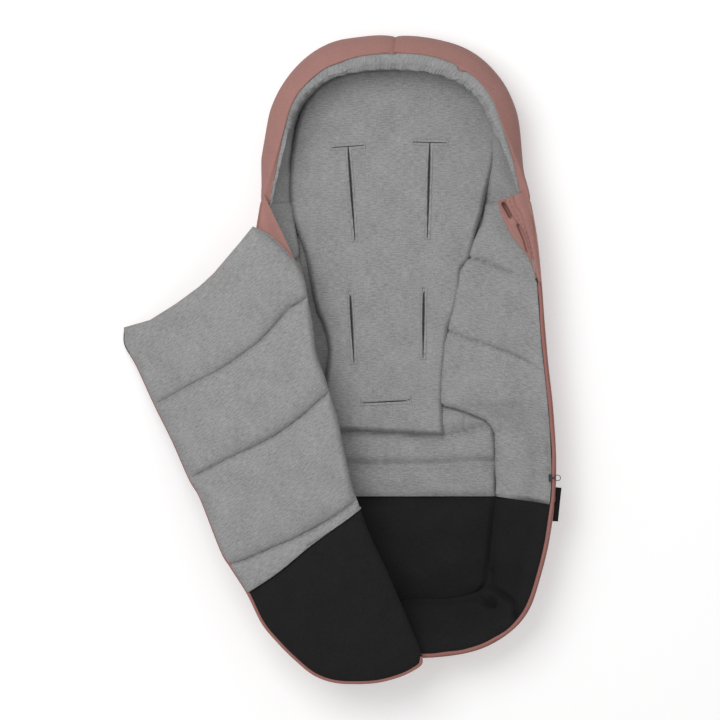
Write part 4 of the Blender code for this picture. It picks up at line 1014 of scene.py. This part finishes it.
# %% Label tag
tag_edge = at([(553.5, 487.0), (551.0, 521.5)])
tag_free = at([(562, 488), (558.5, 521.8)])
rows = np.linspace(0, 1, 24)[:, None, None]
share = np.linspace(0, 1, 12)
ends = mix(tag_edge[:, None], tag_free[:, None], share[:, None])
grid = raised(mix(ends[0], ends[1], rows), RIM_HEIGHT - 1.0 * MM - 3.0 * MM * share**2)
dress(cloth("tag", grid, 1.2 * MM, black_tape, grain=0), "body", "label", "label_tag")

# %% [markdown]
# ## The cover
#
# The cover is one long quilted panel, sewn along the left rim and zipped along the right one. Here
# it is open: it goes over a fold and lies on its own root, grey side up, with its far corner
# hanging over the left rim. The sewn rows are read from the photo, from the fold out to the free
# edge, and a smooth surface is drawn through them. Wadding swells it between the sewn rows.

# %% The cover's surface
FOLD_HEIGHT = 101.55 * MM
ROOT_THICK = 14.2 * MM
DROOP_ANGLE, DROOP_RADIUS = radians(27) * 1.15, 90 * MM
UNDERSIDE = FOLD_HEIGHT + 0.2 * MM


def droop(places):
    """How far the cover has dropped at places beyond the left rim."""
    # The left rim as a straight line, from its upper to its lower end
    top_x, top_y, foot_x, foot_y = -232 * MM, 152 * MM, -246 * MM, -338 * MM
    line = mix(top_x, foot_x, (top_y - places[..., 1]) / (top_y - foot_y))
    beyond = np.maximum(line - places[..., 0], 0)
    turn = DROOP_RADIUS * sin(DROOP_ANGLE)
    bend = DROOP_RADIUS - np.sqrt(DROOP_RADIUS**2 - np.minimum(beyond, turn) ** 2)
    return bend + np.maximum(beyond - turn, 0) * tan(DROOP_ANGLE)


def on_cover(pixels):
    """Places in plan of photo places on the cover, allowing for how low it hangs there."""
    places = at(pixels, UNDERSIDE + 10 * MM)
    for _ in range(3):  # the height follows from the place, and the place from the height
        places = at(pixels, (UNDERSIDE + 10 * MM - droop(places))[..., None])
    return places


neck = [(296.4, 262), (282, 246), (268, 233), (252.7, 226), (239, 243), (214, 273), (200, 286), (177, 303),
        (150, 320), (123.5, 327.5)]
seam_1 = [(305.5, 298), (303.6, 300), (287.5, 310), (271, 329), (255, 345), (223, 368), (189, 386),
          (153.6, 406)]
seam_2 = [(331, 391.5), (321, 399), (302, 416), (271, 437.5), (225, 460), (188.4, 479)]
seam_3 = [(358.5, 499), (344, 510), (326, 522), (296, 538), (270, 549), (245, 560), (228, 565)]
toe_seam = [(361.5, 509.5), (343, 523), (311, 546), (278, 573), (246.5, 594)]
toe_rows = [
    [(378, 552), (350, 566), (320, 582), (290, 598), (258, 618)],
    [(392, 583), (365, 600), (335, 617), (305, 632), (275, 641)],
    [(405, 613), (380, 634), (350, 650), (322, 662), (295, 661)],
    [(415, 638), (395, 656), (372, 668), (345, 676), (318, 677)],
    [(422.6, 657), (422.3, 664), (416, 669.6), (401, 677), (379, 683), (356, 684.6), (333, 683)],
]
free_edge = [(123.5, 327.5), (124, 345), (135.7, 366), (153.6, 405), (171.4, 441), (188.4, 479.5), (200, 500),
             (220, 551), (230, 568), (246.5, 594), (261.5, 624), (278, 644), (294.6, 660.5), (313, 675.4),
             (333, 683), (356, 684.6), (379, 683), (401, 677), (416, 669.6), (422.3, 664), (422.6, 657)]
fold_edge = [(296.4, 262), (304.5, 279), (308, 300), (312.5, 323), (316, 352), (325, 377), (329.5, 393),
             (338, 420), (342, 440), (347, 463), (352.6, 487), (359, 505), (369, 533), (386, 569), (402, 606),
             (415.7, 639), (422.6, 657)]
cover_lines = [neck, seam_1, seam_2, seam_3, toe_seam] + toe_rows
ACROSS = 120
control = np.stack([even(on_cover(line), ACROSS) if line is neck else smooth(on_cover(line), ACROSS)
                    for line in cover_lines])
free_line, fold_line = smooth(on_cover(free_edge), 300), smooth(on_cover(fold_edge), 300)
sewn = [smooth(on_cover(line), 60) for line in (seam_1, seam_2, seam_3)]
boundary = smooth(on_cover(toe_seam), 60)
neck_line = control[0]
print("cover rows:", len(control))

# The lining ends short of the free edge, where the piping shows, and a hair short of the toe seam's row
GREY_INSET, BLACK_INSET = 1.3 * MM, 4.2 * MM
TOE_ROW, LAST_ROW, ROW_HAIR = 4, 9, 0.012


def cover_plan(low, high, step):
    """The cover in plan between two sewn rows, its ends drawn onto the fold and the free edge."""
    plan = spline(control, between(low, high, step))
    share = np.linspace(0, 1, ACROSS)[None, :, None]
    at_fold, at_free = (on_line(line, nearest(ends, line)[1]) - ends
                        for ends, line in ((plan[:, 0], fold_line), (plan[:, -1], free_line)))
    return plan + at_fold[:, None] * (1 - share) ** 3 + at_free[:, None] * share ** 3


def thickness(places):
    """How thick the cover is: wadding between sewn rows, thin along the seams and the free edge."""
    gap, last = distance(places, *sewn), distance(places, boundary)
    edge = distance(places, free_line[::3], neck_line[::2]) - GREY_INSET
    full = 6.6 * MM + puff(gap, 10 * MM, 10.6 * MM) + groove(gap, 1.8 * MM, 2.6 * MM)
    full = full - 4.2 * MM * np.exp(-last / (9 * MM)) + groove(last, 1.5 * MM, 0.8 * MM)
    full = full + puckers(places, sewn, 19 * MM, 13 * MM) * 0.85 * MM
    full = full + puckers(places, sewn + [boundary], 8 * MM, 6 * MM) * 0.35 * MM
    full = full + wobble(places, 62 * MM, 81) * 0.9 * MM + wobble(places, 23 * MM, 82) * 0.3 * MM
    return mix(2.2 * MM, full, rounded(edge / (20 * MM)))


# %% [markdown]
# The cover's top is the lining. Where it goes over the fold it becomes a soft roll, from the top of
# the flap down to the underside of the root. The roll bends when the cover is shut, so it is a
# piece of its own.

# %% Cover lining, flat part
ROLL = 13 * MM


def cover_sheet(plan, height):
    """A surface at a height above the cover's underside, which droops beyond the rim."""
    return raised(plan, UNDERSIDE - droop(plan) + height)


def bending(piece, slot, *nodes, fill=None):
    """Dresses a piece that bends at the left rim, from the flat part of the cover to the drooping one."""
    dress(piece, None, slot, *nodes, fill=fill)
    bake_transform(piece)


def past_roll(plan, depth, inset):
    """The rows again, from a depth inside the fold out to near the free edge, denser near both ends."""
    share = 0.6 * finer_ends(200) + 0.4 * np.linspace(0, 1, 200)
    return np.array([on_line(row, mix(depth, length_to(row)[-1] - inset, share)) for row in plan])


grey_plan = past_roll(cover_plan(0, TOE_ROW - ROW_HAIR, 0.018), ROLL - 0.5 * MM, GREY_INSET)
top = cover_sheet(grey_plan, thickness(grey_plan))
lining = cloth("cover_lining_grey", top, FABRIC, grey_jersey, grain=35)
bending(lining, "grey_jersey", "cover_lining", "cover_wadding", "cover_side_lining", "cover_side_wadding",
        fill=0.55)


def black_height(places):
    """How thick the black foot end of the cover is."""
    full = 12.5 * MM - 4.6 * MM * np.exp(-distance(places, boundary) / (10 * MM))
    edge = distance(places, free_line[::3]) - BLACK_INSET
    return mix(3.0 * MM, full + wobble(places, 80 * MM, 83) * 1.3 * MM, rounded(edge / (26 * MM)))


black_plan = past_roll(cover_plan(TOE_ROW + ROW_HAIR, LAST_ROW, 0.03), ROLL - 0.5 * MM, BLACK_INSET)
top = cover_sheet(black_plan, black_height(black_plan))
dress(cloth("cover_lining_black", top, FABRIC, black_lining, grain=35), "cover", "black_fabric",
      "cover_toe_lining", fill=0.5)


def roll(name, low, high, step, top_height, finish, slot, ridge):
    """The rounded fold: an oval section at each row, from the flap's top round to the root's underside."""
    plan = cover_plan(low, high, step)
    fold = plan[:, 0]
    # The row's direction at the fold, over its first 12 points
    along = unit(plan[:, 12] - fold)
    turn = np.linspace(-pi / 2, pi / 2, 41)
    depth = ROLL * (1 - np.cos(turn) ** 0.9)
    flat = fold[:, None] + along[:, None] * depth[None, :, None]
    upper = UNDERSIDE + top_height(fold + along * ROLL)[:, None] - FOLD_HEIGHT
    height = FOLD_HEIGHT + np.where(turn > 0, upper, ROOT_THICK) * np.sin(turn) - droop(flat)
    height = height + ridge * fade(depth - 3.4 * MM, 0.8 * MM) * (turn > 0)
    grid = raised(flat, height)
    piece = cloth(name, grid, FABRIC, finish, grain=35, towards=(300 * MM, grid[..., 1].mean(), 250 * MM))
    dress(piece, None, slot, fill=0.5)
    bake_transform(piece)


roll("cover_fold_grey", 0, TOE_ROW - ROW_HAIR, 0.018, thickness, grey_jersey, "grey_jersey", 0.0)
roll("cover_fold_black", TOE_ROW + ROW_HAIR, LAST_ROW, 0.03, black_height, black_lining, "black_fabric",
     0.6 * MM)

# %% [markdown]
# Under the lining is the rose shell. It faces down while the cover is open, and is what shows when
# the bag is shut, so it gets the same sewn rows, pressed in from its own side.

# %% Cover shell and edges
shell_plan = past_roll(cover_plan(0, LAST_ROW, 0.04), 5 * MM, 1.0 * MM)
dent = 0.4 * MM * fade(distance(shell_plan, *sewn, boundary), 3 * MM)
bottom = cover_sheet(shell_plan, dent + 0.1 * MM)
shell = cloth("cover_shell_rose", bottom, -FABRIC, rose_shell, grain=35)
bending(shell, "rose_fabric", "cover_shell", "cover_side_shell", fill=0.5)


def beside_edge(line, outwards, lift):
    """A path beside the cover's free edge, in plan outwards from it and up from its underside."""
    along = unit(np.gradient(line, axis=0))
    return cover_sheet(line + np.stack([along[:, 1], -along[:, 0]], -1) * outwards, lift)


# Parts of the edge, by its 900 points: the pin from 10, the thin piping from 52 to the toe seam at 430,
# the thick piping from there, and the tape
whole_edge = smooth(on_cover(free_edge), 900)
path = beside_edge(whole_edge[52:430], -1.4 * MM, 1.7 * MM)
piping = tube("cover_piping_grey_part", path, 2.8 * MM, 3.0 * MM, rose_piping, sides=12)
bending(piping, "rose_piping", "cover_side_piping")
path = beside_edge(whole_edge[429:], -2.7 * MM, 2.7 * MM)
piping = tube("cover_piping_black_part", path, 5.4 * MM, 4.4 * MM, rose_piping, sides=12)
bending(piping, "rose_piping", "cover_piping")
outer, inner = (beside_edge(whole_edge[8:860], -inwards, -0.3 * MM) for inwards in (1.2 * MM, 8 * MM))
grid = mix(outer[:, None], inner[:, None], np.linspace(0, 1, 6)[None, :, None])
tape = cloth("cover_tape", grid, TAPE_THICK, black_tape)
bending(tape, "zip_tape", "cover_zip_tape", "cover_side_zip_tape")
path = beside_edge(whole_edge[10:50], -1.8 * MM, 2.0 * MM)
pin = tube("cover_zip_end", path, 3.2 * MM, 4.2 * MM, black_nylon, sides=12)
dress(pin, "cover_side", "zip_tape", "cover_zip_pin")

# %% [markdown]
# The root of the cover stays sewn along the left rim under the fold. Only a rose triangle of it
# shows, at the upper left, but it carries the flap and closes the bag when the cover is shut.

# %% Cover root
rows = np.linspace(0, 1, 120)
wall = Wall(np.linspace(-11.12, -0.9, 400))
left = even(wall.rim + wall.inward * 2.0 * MM, 120)
# The axis of the joint cover_fold in plan: one place on it, and the direction square to it
hinge_place, hinge_side = np.array([-106.8, -33.9]) * MM, np.array([0.9531, 0.3027])
# The root keeps clear of the turned cover: where the fold lies past the hinge, its edge stays as far
# short of the hinge
right = fold_line[12:] - (5 * MM, 0)
past_hinge = (right - hinge_place) @ hinge_side
room = np.minimum(past_hinge, -past_hinge - 2.0 * MM) - past_hinge
right = right + room[:, None] * hinge_side
right = even(np.concatenate([[on_cover(neck[:1])[0] + (-2.0 * MM, 3.0 * MM)], right]), 120)
share = finer_ends(90)
flat = mix(left[:, None], right[:, None], share[None, :, None])
from_rim = share[None] * np.linalg.norm(right - left, axis=1)[:, None] / (30 * MM)
from_top = 0.3 + 0.7 * ease(rows / 0.05)[:, None]
low_edge = FOLD_HEIGHT - ROOT_THICK
full = low_edge + 3.2 * MM + (ROOT_THICK - 4.0 * MM) * rounded(from_rim) * from_top
upper = raised(flat, full + (wobble(flat, 50 * MM, 91) - 1) * 0.25 * MM)
dress(cloth("cover_root_rose", upper, FABRIC, rose_shell, grain=20), "body", "rose_fabric",
      "cover_root_shell", "cover_root_wadding", fill=0.4)
# The lining stops short at the corner by the neck, where the shut cover's own lining comes down
at_corner = ramp(1 - rows / 0.22)[:, None, None] * share[None, :, None]
lower = raised(flat - at_corner * hinge_side * 17 * MM, low_edge + 1.6 * MM)
dress(cloth("cover_root_grey", lower, FABRIC, grey_jersey, grain=20), "body", "grey_jersey",
      "cover_root_lining", fill=0.4)

# %% [markdown]
# Inside the fold the rose cloth of the root turns back and becomes that of the cover. While the bag
# is open this strip is hidden. It opens flat when the cover is shut, like the gutter of a book.

# %% Gutter of the fold
gutter = fold_line[14:-6]
shift = (gutter - hinge_place) @ hinge_side
room = np.minimum(shift - 5 * MM, 3 * MM - shift) - shift + 5 * MM
start = (gutter - (5 * MM, 0) + room[:, None] * hinge_side)[:, None]
deep, back = (gutter - (into, 0) for into in (3 * MM, 7 * MM))
share = np.linspace(0, 1, 13)[None, :, None]
flat = np.concatenate([mix(start, deep[:, None], share), mix(deep[:, None], back[:, None], share[:, 1:])], 1)
climb = np.concatenate([np.linspace(-1.6, -1.3, 13), np.linspace(-1.3, 0.2, 13)[1:]]) * MM
strip = cloth("cover_fold_rose", raised(flat, FOLD_HEIGHT + climb), 0.4 * MM, rose_shell, grain=20)
dress(strip, None, "rose_fabric", fill=0.2)
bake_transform(strip)

# %% [markdown]
# The slider, its pull and the stop are hard, so they keep the CAD model's own shapes.

# %% Hard parts
for node, finish in (("zip_slider", dark_zinc), ("zip_puller", dark_zinc), ("zip_stop", black_nylon)):
    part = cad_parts[node]
    part.data.materials.clear()
    part.data.materials.append(finish)
    print(node, "keeps the CAD shape")

# %% [markdown]
# ## Floor, light and size
#
# A large soft light from the upper left gives the flat lay its soft shadow at the right and below.
# The floor is lit like the rest, so it keeps that shadow, and glows a little for the camera so
# that it reads as white paper.

# %% Studio
floor_mesh = bpy.data.meshes.new("paper")
floor_mesh.from_pydata([(-4, -4, 0), (4, -4, 0), (4, 4, 0), (-4, 4, 0)], [], [(0, 1, 2, 3)])
paper = bpy.data.objects.new("paper_floor", floor_mesh)
bpy.context.scene.collection.objects.link(paper)
paper_white, tree, shader = material("paper_white_matte", "#FFFFFF", 1.0)
shader.inputs["Base Color"].default_value = (0.86, 0.86, 0.86, 1.0)
shader.inputs["Specular IOR Level"].default_value = 0.0
path_kind = add(tree, "LightPath")
glow = add(tree, "Emission", {"Strength": 0.31})
seen = add(tree, "MixShader", {}, {0: path_kind.outputs["Is Camera Ray"], 1: shader.outputs[0]})
both = add(tree, "AddShader", {}, {0: shader.outputs[0], 1: glow.outputs[0]})
tree.links.new(both.outputs[0], seen.inputs[2])
tree.links.new(seen.outputs[0], tree.nodes["Material Output"].inputs[0])
floor_mesh.materials.append(paper_white)
paper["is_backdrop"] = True


def softbox(name, place, size, power):
    """A square lamp that points at the middle of the floor."""
    lamp = bpy.data.lights.new(name, "AREA")
    lamp.size = size
    lamp.energy = power
    made = bpy.data.objects.new(name, lamp)
    made.location = place
    made.rotation_euler = (-Vector(place)).to_track_quat("-Z", "Y").to_euler()
    bpy.context.scene.collection.objects.link(made)


softbox("key_softbox", (-0.8, 0.7, 2.2), 1.5, 30)
softbox("fill_softbox", (1.2, -0.8, 2.6), 2.0, 6)

world = bpy.data.worlds.new("studio")
bpy.context.scene.world = world
world.use_nodes = True
tree = world.node_tree
ambient = tree.nodes["Background"]
ambient.inputs["Color"].default_value = (1, 1, 1, 1)
path_kind = add(tree, "LightPath")
strength = add(tree, "MapRange", {1: 0.0, 2: 1.0, 3: 0.44, 4: 1.0}, {0: path_kind.outputs["Is Camera Ray"]})
tree.links.new(strength.outputs[0], ambient.inputs["Strength"])
bpy.context.scene.view_settings.view_transform = "Standard"

# %% The shown size
low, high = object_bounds()
print("shown box in mm:", [round(c / MM) for c in high - low])
